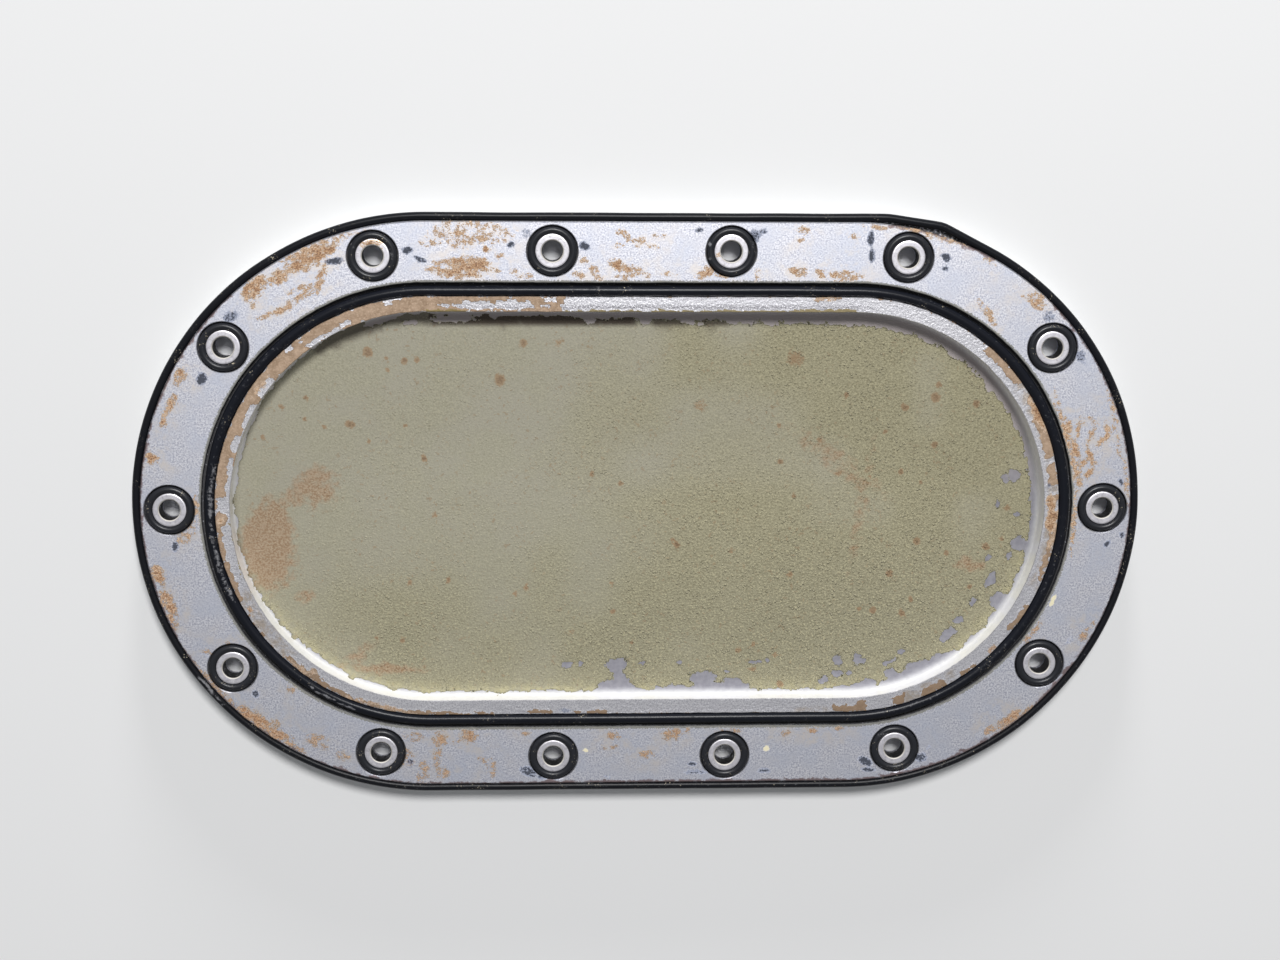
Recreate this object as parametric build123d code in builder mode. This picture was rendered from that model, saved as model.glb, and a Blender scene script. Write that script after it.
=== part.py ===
from build123d import *
import math
import os

# Wing access panel, lying on its outer skin face with the sealing face up.
# X runs along the longer side, and the origin is under the middle of the panel.
# Every outline is a stadium: two straight runs joined by two half circles.
# Lengths are in millimetres.

# Stadium outlines, worked from the pan outwards
arc_spacing = 104.0
pan_radius = 48.8
lip_width = 3.7
seal_groove_width = 3.4
bolt_line_inset = 7.6
land_margin = 7.15
ledge_width = 1.75

# Heights
floor_thickness = 1.5
pan_depth = 6.5
pan_floor_fillet = 2.0
seal_groove_depth = 2.05
ledge_depth = 2.1

# Screw holes, for flush number 10 screws with a 100 degree head
hole_count = 14
screw_bore = 5.16
screw_head = 9.9
screw_head_angle = 100.0

# Bushes pressed in from the sealing face
bush_wall = 1.55
bush_length = 4.5
bush_press_clearance = 0.01
bush_bore_chamfer = 0.3
bush_rim_chamfer = 0.15

# Rubber seals of round section, each slightly flattened where it sits
main_seal_section = 2.62
screw_seal_section = 1.78
screw_groove_slack = 0.34
screw_groove_depth = 1.35
perimeter_cord_section = 2.0
perimeter_cord_glue_line = 0.1
seal_clearance = 0.02
seal_flat = 0.08

# The perimeter cord has slack at one corner, where it stands off the land
slack_run = 8.0
slack_lift = 1.2
slack_angle = 17.0
slack_bend_radii = (18.0, 40.0)

# Broken edges
land_edge_break = 0.3
groove_edge_break = 0.15
skin_edge_break = 0.5

# Sizes that follow from those above
plate_thickness = floor_thickness + pan_depth
lip_radius = pan_radius + lip_width
seal_groove_radius = lip_radius + seal_groove_width
bolt_line_radius = seal_groove_radius + bolt_line_inset
land_radius = bolt_line_radius + land_margin
ledge_radius = land_radius + ledge_width
ledge_height = plate_thickness - ledge_depth
bush_radius = screw_bore / 2 + bush_wall
bush_seat_radius = bush_radius + bush_press_clearance
screw_groove_radius = bush_radius + screw_seal_section + screw_groove_slack
bush_foot = plate_thickness - bush_length

mating_face = Plane.XY.offset(plate_thickness)

os.makedirs("parts", exist_ok=True)


def stadium_path(radius, height=0.0):
    """Closed path of a stadium at a height, from the right-hand end of its upper run."""
    half_run = arc_spacing / 2
    with BuildLine(Plane.XY.offset(height)) as path:
        Line((half_run, radius), (-half_run, radius))
        CenterArc((-half_run, 0), radius, 90, 180)
        Line((-half_run, -radius), (half_run, -radius))
        CenterArc((half_run, 0), radius, 270, 180)
    return path.wires()[0]


def hole_centres():
    """Centres of the screw holes, evenly spaced from the middle of the right-hand end."""
    bolt_line = stadium_path(bolt_line_radius)
    pitch = bolt_line.length / hole_count
    right_middle = bolt_line.length - bolt_line_radius * math.pi / 2
    distances = [(right_middle + index * pitch) % bolt_line.length for index in range(hole_count)]
    return [bolt_line.position_at(distance, PositionMode.LENGTH) for distance in distances]


def perimeter_path():
    """Path of the perimeter cord: a stadium that stands off the land at one corner."""
    radius = land_radius + perimeter_cord_glue_line + perimeter_cord_section / 2
    half_run = arc_spacing / 2
    lifted = radius + slack_lift
    rejoin_angle = slack_angle + math.degrees(math.acos(radius / lifted))
    rejoin = Vector(half_run, 0) + Vector(0, radius).rotate(Axis.Z, -rejoin_angle)
    peak = Vector(half_run, 0) + Vector(0, lifted).rotate(Axis.Z, -slack_angle)
    height = ledge_height + perimeter_cord_section / 2 - seal_flat
    with BuildLine() as path:
        Line((half_run, radius), (-half_run, radius))
        CenterArc((-half_run, 0), radius, 90, 180)
        Line((-half_run, -radius), (half_run, -radius))
        CenterArc((half_run, 0), radius, 270, 180 - rejoin_angle)
        FilletPolyline(
            rejoin,
            peak,
            (half_run + slack_run, radius),
            (half_run, radius),
            radius=slack_bend_radii,
        )
    return path.wires()[0].translate((0, 0, height))


screw_holes = hole_centres()

# Door plate, milled from one thick sheet
with BuildPart() as door_plate:
    with BuildSketch():
        SlotCenterToCenter(arc_spacing, 2 * ledge_radius)
    extrude(amount=ledge_height)
    chamfer(door_plate.faces().sort_by(Axis.Z)[0].outer_wire().edges(), length=skin_edge_break)

    with BuildSketch(Plane.XY.offset(ledge_height)):
        SlotCenterToCenter(arc_spacing, 2 * land_radius)
    extrude(amount=ledge_depth)
    chamfer(door_plate.faces().sort_by(Axis.Z)[-1].outer_wire().edges(), length=land_edge_break)

    # Pan, with the rounded foot that the cutter leaves
    with BuildSketch(mating_face):
        SlotCenterToCenter(arc_spacing, 2 * pan_radius)
    extrude(amount=-pan_depth, mode=Mode.SUBTRACT)
    pan_floor = door_plate.faces().filter_by(Plane.XY).filter_by(
        lambda face: abs(face.center().Z - floor_thickness) < 0.01
    )
    fillet(pan_floor[0].outer_wire().edges(), radius=pan_floor_fillet)

    # Main seal groove, outside the lip
    with BuildSketch(mating_face):
        SlotCenterToCenter(arc_spacing, 2 * seal_groove_radius)
        SlotCenterToCenter(arc_spacing, 2 * lip_radius, mode=Mode.SUBTRACT)
    extrude(amount=-seal_groove_depth, mode=Mode.SUBTRACT)

    # Ring grooves and bush seats
    with BuildSketch(mating_face):
        with Locations(*screw_holes):
            Circle(screw_groove_radius)
    extrude(amount=-screw_groove_depth, mode=Mode.SUBTRACT)
    with BuildSketch(mating_face):
        with Locations(*screw_holes):
            Circle(bush_seat_radius)
    extrude(amount=-bush_length, mode=Mode.SUBTRACT)

    # Broken rims of the grooves, the lip and the land's inner edge
    top_faces = door_plate.faces().group_by(Axis.Z)[-1].sort_by(SortBy.AREA)
    lip_face = top_faces[0]
    land_face = top_faces[-1]
    chamfer(lip_face.edges() + land_face.inner_wires().edges(), length=groove_edge_break)

    # Screw holes, countersunk from the skin face
    with Locations(*[Plane(origin=centre, z_dir=(0, 0, -1)) for centre in screw_holes]):
        CounterSinkHole(screw_bore / 2, screw_head / 2, counter_sink_angle=screw_head_angle)

door_plate.part.label = "door_plate"
export_step(door_plate.part, "parts/door_plate.step")

# Main seal, stretched round the lip
main_seal_radius = lip_radius + seal_clearance + main_seal_section / 2
main_seal_floor = plate_thickness - seal_groove_depth
main_seal_height = main_seal_floor + main_seal_section / 2 - seal_flat
with BuildPart() as main_seal:
    main_seal_path = stadium_path(main_seal_radius, main_seal_height)
    with BuildSketch(Plane(main_seal_path @ 0, x_dir=(0, 0, 1), z_dir=main_seal_path % 0)):
        Circle(main_seal_section / 2)
        with Locations((-main_seal_section / 2 + seal_flat, 0)):
            Rectangle(
                main_seal_section,
                main_seal_section,
                align=(Align.MAX, Align.CENTER),
                mode=Mode.SUBTRACT,
            )
    sweep(path=main_seal_path)

main_seal.part.label = "main_seal"
export_step(main_seal.part, "parts/main_seal.step")

# Perimeter seal, lying on the ledge round the land
perimeter_seal_path = perimeter_path()
with BuildPart() as perimeter_seal:
    with BuildSketch(Plane(perimeter_seal_path @ 0, x_dir=(0, 0, 1), z_dir=perimeter_seal_path % 0)):
        Circle(perimeter_cord_section / 2)
        with Locations((-perimeter_cord_section / 2 + seal_flat, 0)):
            Rectangle(
                perimeter_cord_section,
                perimeter_cord_section,
                align=(Align.MAX, Align.CENTER),
                mode=Mode.SUBTRACT,
            )
    sweep(path=perimeter_seal_path)

perimeter_seal.part.label = "perimeter_seal"
export_step(perimeter_seal.part, "parts/perimeter_seal.step")

# Screw bushes, standing on the shoulder above each countersink
for number, centre in enumerate(screw_holes, start=1):
    with BuildPart() as screw_bush:
        with BuildSketch(Plane((centre.X, centre.Y, bush_foot))):
            Circle(bush_radius)
            Circle(screw_bore / 2, mode=Mode.SUBTRACT)
        extrude(amount=bush_length)
        top_rims = screw_bush.faces().sort_by(Axis.Z)[-1].edges().sort_by(SortBy.RADIUS)
        chamfer(top_rims[0], length=bush_bore_chamfer)
        chamfer(top_rims[-1], length=bush_rim_chamfer)
    screw_bush.part.label = f"screw_bush_{number:02d}"
    export_step(screw_bush.part, f"parts/screw_bush_{number:02d}.step")

# Screw seals, one round each bush on the floor of its ring groove
screw_seal_radius = bush_radius + seal_clearance + screw_seal_section / 2
screw_seal_floor = plate_thickness - screw_groove_depth
screw_seal_height = screw_seal_floor + screw_seal_section / 2 - seal_flat
for number, centre in enumerate(screw_holes, start=1):
    upright = Plane((centre.X, centre.Y, 0), x_dir=(1, 0, 0), z_dir=(0, -1, 0))
    with BuildPart() as screw_seal:
        with BuildSketch(upright):
            with Locations((screw_seal_radius, screw_seal_height)):
                Circle(screw_seal_section / 2)
            with Locations((screw_seal_radius, screw_seal_floor)):
                Rectangle(
                    screw_seal_section,
                    screw_seal_section,
                    align=(Align.CENTER, Align.MAX),
                    mode=Mode.SUBTRACT,
                )
        revolve(axis=Axis((centre.X, centre.Y, 0), (0, 0, 1)))
    screw_seal.part.label = f"screw_seal_{number:02d}"
    export_step(screw_seal.part, f"parts/screw_seal_{number:02d}.step")
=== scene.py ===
# %% [markdown]
# # A wing access panel, dressed for its picture
#
# The object is an oblong door that closes a hole in the skin of a wing. It lies on its outer face, so
# the side that is seen is the inner one: a shallow pan, a lip, a rubber seal in a groove, a flat land
# with fourteen sealed screw holes, and a rubber cord round the edge. The true sizes come from the
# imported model, which is loaded first and never changed. Everything here lies in that frame.
#
# Two facts shape the whole lesson. Every outline of the door is a stadium, which is two half circles
# joined by two straight runs, and nearly all that is to be seen is wear: flaked primer, rust
# stains, scuffs and speckle. So each ring is turned like a bowl and then pulled apart into a stadium,
# and the wear is painted on the corners of the mesh and broken up finely in the materials.

# %% Load the frame
import math

import bpy
import numpy as np
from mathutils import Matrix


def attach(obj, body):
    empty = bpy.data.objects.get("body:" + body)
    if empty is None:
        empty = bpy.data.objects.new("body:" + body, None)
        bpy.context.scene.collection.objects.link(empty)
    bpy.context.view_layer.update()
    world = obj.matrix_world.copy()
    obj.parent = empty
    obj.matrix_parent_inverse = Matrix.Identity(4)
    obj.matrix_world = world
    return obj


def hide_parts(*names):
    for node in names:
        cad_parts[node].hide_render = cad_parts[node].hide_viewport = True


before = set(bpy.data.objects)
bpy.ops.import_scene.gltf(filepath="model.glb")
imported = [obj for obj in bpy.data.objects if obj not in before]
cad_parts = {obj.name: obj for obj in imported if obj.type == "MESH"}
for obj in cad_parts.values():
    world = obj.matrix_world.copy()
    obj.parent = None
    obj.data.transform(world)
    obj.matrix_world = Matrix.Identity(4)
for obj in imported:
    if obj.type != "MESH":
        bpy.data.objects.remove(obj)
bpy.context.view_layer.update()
print("nodes in the frame:", len(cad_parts))

# %% [markdown]
# ## The main measures
#
# These repeat the driving sizes of the solids, in millimetres, because that is how a maker reads a
# drawing. They are multiplied by MM where they meet the mesh, which is in metres. All radii are
# measured from the two arc centres on the X axis, and heights from the outer skin.

# %% Sizes of the door
MM = 0.001
RUN = 104.0
HALF_RUN = RUN / 2
# radii of the pan's wall and of the outer sides of the lip, the groove, the land and the ledge
PAN, LIP, GROOVE, LAND, LEDGE = 48.8, 52.5, 55.9, 70.65, 72.4
# heights of the lip and the land, the pan floor, the groove's floor and the ledge
TOP, PAN_FLOOR, GROOVE_FLOOR, LEDGE_TOP = 8.0, 1.5, 5.95, 5.9
# the line of the screws, and the radii of a bore, of its bush and of its ring groove
BOLTS = 63.5
BORE, BUSH, RING_GROOVE = 2.58, 4.13, 6.25
HOLE_COUNT = 14


def hole_centres():
    """Centres of the screw holes in metres, evenly along the bolt line, the first at the right."""
    pitch = (2 * RUN + 2 * math.pi * BOLTS) / HOLE_COUNT
    quarter = BOLTS * math.pi / 2
    corner = []
    for index in range(HOLE_COUNT // 4 + 1):
        run = index * pitch
        if run <= quarter:
            turn = run / BOLTS
            corner.append((HALF_RUN + BOLTS * math.cos(turn), BOLTS * math.sin(turn)))
        else:
            corner.append((HALF_RUN - (run - quarter), BOLTS))
    upper = corner + [(-x, y) for x, y in reversed(corner)]
    lower = [(x, -y) for x, y in reversed(upper[1:-1])]
    return [(x * MM, y * MM) for x, y in upper + lower]


HOLES = hole_centres()
print("holes:", len(HOLES), "first", [round(v / MM, 2) for v in HOLES[0]])

# %% [markdown]
# ## Camera
#
# The camera stands almost over the door and a little towards its upper side, so most of the wear is
# seen face on and only the upper wall of the pan hides. It has a plain lens without blur. Its place is
# named, because marks in the pan are shifted by the line of sight later.

# %% Camera
EYE = (-21.99, 95.87, 497.65)
camera = bpy.data.objects.new("camera", bpy.data.cameras.new("camera"))
bpy.context.collection.objects.link(camera)
camera.location = [value * MM for value in EYE]
camera.rotation_euler = [math.radians(turn) for turn in (-10.2576, -2.4895, 0.3408)]
camera.data.sensor_width = 36.0
camera.data.sensor_fit = "HORIZONTAL"
camera.data.lens = 56.78
camera.data.clip_start = 0.01
bpy.context.scene.camera = camera
bpy.context.scene.view_settings.view_transform = "Standard"
print("lens:", round(camera.data.lens, 2))

# %% [markdown]
# ## Floor and light
#
# The floor is a plain pale board. A big soft lamp shines from beyond the upper side, about 60 degrees
# above the floor: it brightens the wall of the pan that faces it and leaves a soft shadow under the
# opposite rim. A second lamp, very low on the same side, skims over the rims and fills the far wall,
# as light from a window does.

# %% Floor
bpy.ops.object.select_all(action="DESELECT")
bpy.ops.mesh.primitive_grid_add(x_subdivisions=8, y_subdivisions=8, size=3.0, location=(0, 0, 0))
board = bpy.context.object
board.name = "floor_board"
paint = bpy.data.materials.new("pale_board")
paint.use_nodes = True
paint.node_tree.nodes["Principled BSDF"].inputs["Base Color"].default_value = (0.74, 0.74, 0.74, 1)
paint.node_tree.nodes["Principled BSDF"].inputs["Roughness"].default_value = 0.9
board.data.materials.append(paint)
print("floor:", board.dimensions[0])


# %% Light
def round_lamp(name, size, watts, place):
    """A round soft lamp that is aimed at the middle of the door."""
    lamp = bpy.data.objects.new(name, bpy.data.lights.new(name, "AREA"))
    bpy.context.collection.objects.link(lamp)
    lamp.data.shape = "DISK"
    lamp.data.size = size
    lamp.data.energy = watts
    lamp.location = place
    lamp.rotation_euler = (-lamp.location).to_track_quat("-Z", "Y").to_euler()
    return lamp


round_lamp("soft_lamp", 0.42, 22.0, (0.07, 0.80, 1.386))
low_lamp = round_lamp("low_lamp", 0.26, 20.0, (0.0, 1.60, 0.21))
low_lamp.visible_glossy = False

world = bpy.data.worlds.new("pale_room")
bpy.context.scene.world = world
world.use_nodes = True
world.node_tree.nodes["Background"].inputs["Color"].default_value = (0.95, 0.97, 1.0, 1)
world.node_tree.nodes["Background"].inputs["Strength"].default_value = 0.25
print("lamps:", len(bpy.data.lights))

# %% [markdown]
# ## Choosing and shaping in code
#
# Modelling by hand is choosing corners, edges or faces and then moving or cutting them. These helpers
# do the choosing: they read the corners of a mesh as an array, pick some by a rule, and open the mesh
# in edit mode with just those selected.


# %% Small helpers
def only(obj):
    """Leaves one object selected and active."""
    if bpy.context.object and bpy.context.object.mode != "OBJECT":
        bpy.ops.object.mode_set(mode="OBJECT")
    bpy.ops.object.select_all(action="DESELECT")
    obj.select_set(True)
    bpy.context.view_layer.objects.active = obj


def read_rows(parts, label):
    """A measure of three numbers of every corner or face of a mesh, as rows."""
    flat = np.empty(len(parts) * 3)
    parts.foreach_get(label, flat)
    return flat.reshape(-1, 3)


def corners_of(obj):
    """The corners of a mesh as rows x, y, z."""
    return read_rows(obj.data.vertices, "co")


def place_corners(obj, corners):
    """Puts every corner of a mesh at its row of an array."""
    obj.data.vertices.foreach_set("co", np.asarray(corners, dtype=np.float64).ravel())
    obj.data.update()


def open_with(obj, kind, chosen):
    """Opens a mesh in edit mode with only the chosen vertices, edges or polygons selected."""
    only(obj)
    bpy.ops.object.mode_set(mode="EDIT")
    bpy.ops.mesh.select_mode(type={"vertices": "VERT", "edges": "EDGE", "polygons": "FACE"}[kind])
    bpy.ops.mesh.select_all(action="DESELECT")
    bpy.ops.object.mode_set(mode="OBJECT")
    getattr(obj.data, kind).foreach_set("select", np.asarray(chosen, dtype=bool))
    bpy.ops.object.mode_set(mode="EDIT")


def close(obj):
    """Leaves edit mode."""
    bpy.ops.object.mode_set(mode="OBJECT")
    return obj


def face_outwards(obj):
    """Turns all the faces of a closed mesh outwards."""
    open_with(obj, "polygons", np.ones(len(obj.data.polygons), dtype=bool))
    bpy.ops.mesh.normals_make_consistent(inside=False)
    close(obj)


# %% [markdown]
# ## Rings that start as bowls
#
# A groove, a lip or a seal round the door has the same section all the way. On a lathe such a section
# makes a round ring. Here the spin operator does the same: a section is turned about the middle in
# many even steps. Then the left half moves left and the right half moves right by half a run, and the
# faces that span the gap become the straight runs. They are subdivided, so that the mesh is as fine
# there as on the arcs. This keeps every corner in neat rows, which is just what the painting needs.


# %% Turning a section
def section(name, points, closed):
    """A chain of corners on an upright half plane, from rows of radius and height."""
    bpy.ops.object.select_all(action="DESELECT")
    bpy.ops.mesh.primitive_circle_add(vertices=len(points), radius=0.01, location=(0, 0, 0))
    obj = bpy.context.object
    obj.name = name
    obj.data.name = name
    place_corners(obj, [(radius * MM, 0.0, height * MM) for radius, height in points])
    if not closed:
        ends = {0, len(points) - 1}
        open_with(obj, "edges", [set(edge.vertices) == ends for edge in obj.data.edges])
        bpy.ops.mesh.delete(type="EDGE_FACE")
        close(obj)
    return obj


def turn_round(obj, steps, start=0.0):
    """Spins a section once round the Z axis, beginning at an angle."""
    points = corners_of(obj)
    place_corners(obj, np.column_stack([
        points[:, 0] * math.cos(start), points[:, 0] * math.sin(start), points[:, 2],
    ]))
    only(obj)
    bpy.ops.object.mode_set(mode="EDIT")
    bpy.ops.mesh.select_all(action="SELECT")
    bpy.ops.mesh.spin(steps=steps, angle=2 * math.pi, center=(0, 0, 0), axis=(0, 0, 1))
    bpy.ops.mesh.select_all(action="SELECT")
    bpy.ops.mesh.remove_doubles(threshold=2e-8)
    return close(obj)


# %% Pulling a ring apart
def outward(points):
    """Distance of each point from the line between the arc centres, and the nearest place on it."""
    centre = np.clip(points[:, 0], -HALF_RUN * MM, HALF_RUN * MM)
    return np.hypot(points[:, 0] - centre, points[:, 1]), centre


def pull_apart(obj, cuts):
    """Turns a round ring into a stadium: its halves move apart and the runs between are divided."""
    points = corners_of(obj)
    for side in (-1, 1):
        open_with(obj, "vertices", points[:, 0] * side > 0)
        bpy.ops.transform.translate(value=(side * HALF_RUN * MM, 0, 0))
        close(obj)
    points = corners_of(obj)
    ends = np.empty(len(obj.data.edges) * 2, dtype=int)
    obj.data.edges.foreach_get("vertices", ends)
    ends = ends.reshape(-1, 2)
    open_with(obj, "edges", points[ends[:, 0], 0] * points[ends[:, 1], 0] < 0)
    bpy.ops.mesh.subdivide(number_cuts=cuts)
    close(obj)
    distance, _ = outward(corners_of(obj))
    open_with(obj, "vertices", distance < 2e-5)
    bpy.ops.mesh.remove_doubles(threshold=3e-5)
    close(obj)
    face_outwards(obj)


def stadium(name, points, closed, steps, cuts):
    """A whole stadium ring from a section. Half a step of start angle keeps the middle line free."""
    obj = section(name, points, closed)
    turn_round(obj, steps, math.pi / steps)
    pull_apart(obj, cuts)
    print(name, "faces:", len(obj.data.polygons))
    return obj


# %% [markdown]
# ## Repeatable grain
#
# Worn edges wander. The wander comes from a small table of numbers drawn once from a seeded
# generator and blended smoothly between its cells, so that every run gives the same surface.

# %% Smooth grain over the plane
TABLE = np.random.default_rng(11).random((64, 64))


def grain(points, size, shift=0.0):
    """Smooth values from 0 to 1 at each point, changing over about one size."""
    u = points[:, 0] / (size * MM) + shift
    v = points[:, 1] / (size * MM) + 1.7 * shift
    i = np.floor(u).astype(int)
    j = np.floor(v).astype(int)
    a = u - i
    b = v - j
    a = a * a * (3 - 2 * a)
    b = b * b * (3 - 2 * b)
    low = TABLE[i % 64, j % 64] * (1 - a) + TABLE[(i + 1) % 64, j % 64] * a
    high = TABLE[i % 64, (j + 1) % 64] * (1 - a) + TABLE[(i + 1) % 64, (j + 1) % 64] * a
    return low * (1 - b) + high * b


def wander(points, size, reach, shift=0.0):
    """The points moved about by up to a reach, so that what is painted with them looks torn."""
    moved = points.copy()
    moved[:, 0] += (grain(points, size, shift + 3.1) - 0.5) * 2 * reach * MM
    moved[:, 1] += (grain(points, size, shift + 8.4) - 0.5) * 2 * reach * MM
    return moved


# %% [markdown]
# ## The plate
#
# On the real object the door is milled from thick sheet: the cutter sinks the pan and leaves a small
# round at its foot, cuts the seal groove outside the lip and steps the edge down to a ledge. All of
# that is one section here. It starts at the middle of the pan floor, climbs the wall, crosses the lip
# and the groove to the land, drops to the ledge and comes back under the skin.

# %% Section of the plate
FOOT = 2.0
BREAK, LAND_BREAK, SKIN_BREAK = 0.15, 0.3, 0.5
POLE = 0.01


def foot_round(steps):
    """Points of the round at the foot of the pan's wall."""
    turns = [math.radians(-90 + 90 * part / steps) for part in range(1, steps + 1)]
    return [
        (PAN - FOOT + FOOT * math.cos(turn), PAN_FLOOR + FOOT + FOOT * math.sin(turn)) for turn in turns
    ]


def line_through(start, corners):
    """Points along a line that turns at each corner, in as many steps as each corner asks for."""
    line = [start]
    for (radius, height), count in corners:
        from_radius, from_height = line[-1]
        for part in range(1, count + 1):
            line.append((
                from_radius + (radius - from_radius) * part / count,
                from_height + (height - from_height) * part / count,
            ))
    return line


floor_line = line_through((POLE, PAN_FLOOR), [((PAN - FOOT, PAN_FLOOR), 36)])
floor_line += foot_round(6)
plate_line = floor_line[:-1] + line_through(floor_line[-1], [
    ((PAN, TOP - BREAK), 4),
    ((PAN + BREAK, TOP), 1),
    ((LIP - BREAK, TOP), 7),
    ((LIP, TOP - BREAK), 1),
    ((LIP, GROOVE_FLOOR), 2),
    ((GROOVE, GROOVE_FLOOR), 3),
    ((GROOVE, TOP - BREAK), 2),
    ((GROOVE + BREAK, TOP), 1),
    ((LAND - LAND_BREAK, TOP), 18),
    ((LAND, TOP - LAND_BREAK), 1),
    ((LAND, LEDGE_TOP), 2),
    ((LEDGE, LEDGE_TOP), 3),
    ((LEDGE, SKIN_BREAK), 4),
    ((LEDGE - SKIN_BREAK, 0.0), 1),
    ((POLE, 0.0), 7),
])
plate = stadium("door_plate_worn", plate_line, False, steps=400, cuts=103)

# %% [markdown]
# ## The screw holes
#
# Each hole is a seat for a pressed bush with a shallow groove round it for a rubber ring, and it is
# countersunk from the skin side. One cutter of that section is turned on the lathe, copied to the
# fourteen places, and subtracted in one go by a Boolean modifier. Its rims wander by a few
# hundredths of a millimetre, as the etched edges of the real grooves do.

# %% Cutter of one hole
SEAT = BUSH + 0.01
RING_FLOOR, SEAT_FLOOR = 6.65, 3.5
SINK, SINK_DEPTH = 4.95, 1.99
AXIS = 0.00001
cutter_line = [
    (AXIS, 9.0), (6.6, 9.0), (6.6, 8.2), (RING_GROOVE, TOP - BREAK), (RING_GROOVE, RING_FLOOR),
    (SEAT, RING_FLOOR), (SEAT, SEAT_FLOOR), (BORE, SEAT_FLOOR), (BORE, SINK_DEPTH), (SINK, 0.0),
    (5.2, -0.21), (5.2, -1.0), (AXIS, -1.0),
]
cutter = section("hole_cutter", cutter_line, False)
turn_round(cutter, 72)
open_with(cutter, "vertices", np.ones(len(cutter.data.vertices), dtype=bool))
bpy.ops.mesh.remove_doubles(threshold=2e-6)
close(cutter)
face_outwards(cutter)
cutter_shape = corners_of(cutter)
print("cutter corners:", len(cutter_shape))

# %% Cut the holes
cutters = []
for number, (x, y) in enumerate(HOLES):
    copy = bpy.data.objects.new("hole_cutter_copy", cutter.data.copy())
    bpy.context.collection.objects.link(copy)
    turned = cutter_shape.copy()
    round_by = np.arctan2(turned[:, 1], turned[:, 0])
    reach = np.hypot(turned[:, 0], turned[:, 1])
    height = turned[:, 2] / MM
    rim = (height > TOP) & (height < 8.6) & (reach > 6.0 * MM)
    ragged = 0.05 + 0.05 * np.sin(7 * round_by + number) + 0.04 * np.sin(17 * round_by + 2.3 * number)
    reach = reach + np.where(rim, ragged * MM, 0.0)
    turned[:, 0] = reach * np.cos(round_by) + x
    turned[:, 1] = reach * np.sin(round_by) + y
    place_corners(copy, turned)
    cutters.append(copy)
bpy.data.objects.remove(cutter)
only(cutters[0])
for copy in cutters:
    copy.select_set(True)
bpy.ops.object.join()
tools = bpy.context.object
only(plate)
cut = plate.modifiers.new("holes", "BOOLEAN")
cut.operation = "DIFFERENCE"
cut.solver = "MANIFOLD"
cut.object = tools
bpy.ops.object.modifier_apply(modifier=cut.name)
bpy.data.objects.remove(tools)
print("plate after the cut, faces:", len(plate.data.polygons))

# %% [markdown]
# ## The main seal
#
# A rubber ring of round section sits in the groove and is stretched round the lip. It is moulded as a
# round ring and takes the shape of the lip when it is put on, so it is turned and pulled apart here
# too. Its foot is pressed flat on the floor of the groove, and it lies a little unevenly on the lip.


# %% Main seal
def cord_section(radius, height, thickness, corners, flat=0.08):
    """A round section with its foot pressed flat on the surface below."""
    floor = height - thickness / 2 + flat
    turns = [2 * math.pi * (corner + 0.5) / corners for corner in range(corners)]
    return [
        (radius + thickness / 2 * math.cos(turn), max(height + thickness / 2 * math.sin(turn), floor))
        for turn in turns
    ]


def shift_outward(points, amounts):
    """Points moved away from the line between the arc centres by an amount each."""
    distance, centre = outward(points)
    moved = points.copy()
    scale = (distance + amounts * MM) / distance
    moved[:, 0] = centre + (points[:, 0] - centre) * scale
    moved[:, 1] = points[:, 1] * scale
    return moved


main_seal = stadium("main_seal_ring", cord_section(53.83, 7.18, 2.62, 24), True, steps=320, cuts=79)
points = corners_of(main_seal)
place_corners(main_seal, shift_outward(points, (grain(points, 17, 5.0) - 0.35) * 0.16))

# %% [markdown]
# ## The cord round the edge
#
# A longer rubber cord lies on the ledge round the whole door. It was laid by hand, and near one corner
# it has come loose and stands off the land in a shallow bow. The ring is turned like the main seal, and
# the corners near that place are moved outwards along two straight chords with soft bends between.

# %% Perimeter cord
CORD_LINE = 71.75
BOW_START = 8.0
PEAK_REACH, PEAK_TURN = 72.95, math.radians(17.0)
BACK_TURN = math.radians(27.42)


def slack(angles):
    """How far the cord stands off the land, at angles clockwise from the upper end of the right arc."""
    peak = (PEAK_REACH * math.sin(PEAK_TURN), PEAK_REACH * math.cos(PEAK_TURN))
    back = (CORD_LINE * math.sin(BACK_TURN), CORD_LINE * math.cos(BACK_TURN))
    corner = [(0.0, CORD_LINE), (BOW_START, CORD_LINE), peak, back]
    even = np.radians(np.linspace(-1.0, 31.0, 641))
    reach = np.full(even.shape, CORD_LINE)
    for (x0, y0), (x1, y1) in zip(corner, corner[1:]):
        span = (even >= math.atan2(x0, y0)) & (even <= math.atan2(x1, y1))
        normal = (y0 - y1, x1 - x0)
        along = np.sin(even) * normal[0] + np.cos(even) * normal[1]
        reach[span] = ((x0 * normal[0] + y0 * normal[1]) / along)[span]
    soft = np.hanning(75)
    lift = np.pad(reach - CORD_LINE, 37, mode="edge")
    lift = np.convolve(lift, soft / soft.sum(), mode="valid")
    return np.interp(angles, even, lift, left=0.0, right=0.0)


perimeter = stadium("perimeter_cord", cord_section(CORD_LINE, 6.82, 2.0, 20), True, steps=360, cuts=89)
points = corners_of(perimeter)
clockwise = np.arctan2(points[:, 0] - HALF_RUN * MM, points[:, 1])
lift = np.where(points[:, 0] > HALF_RUN * MM, slack(clockwise), 0.0)
place_corners(perimeter, shift_outward(points, lift - grain(points, 11, 2.0) * 0.10))
print("largest stand-off of the cord, mm:", round(float(lift.max()), 2))

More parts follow.
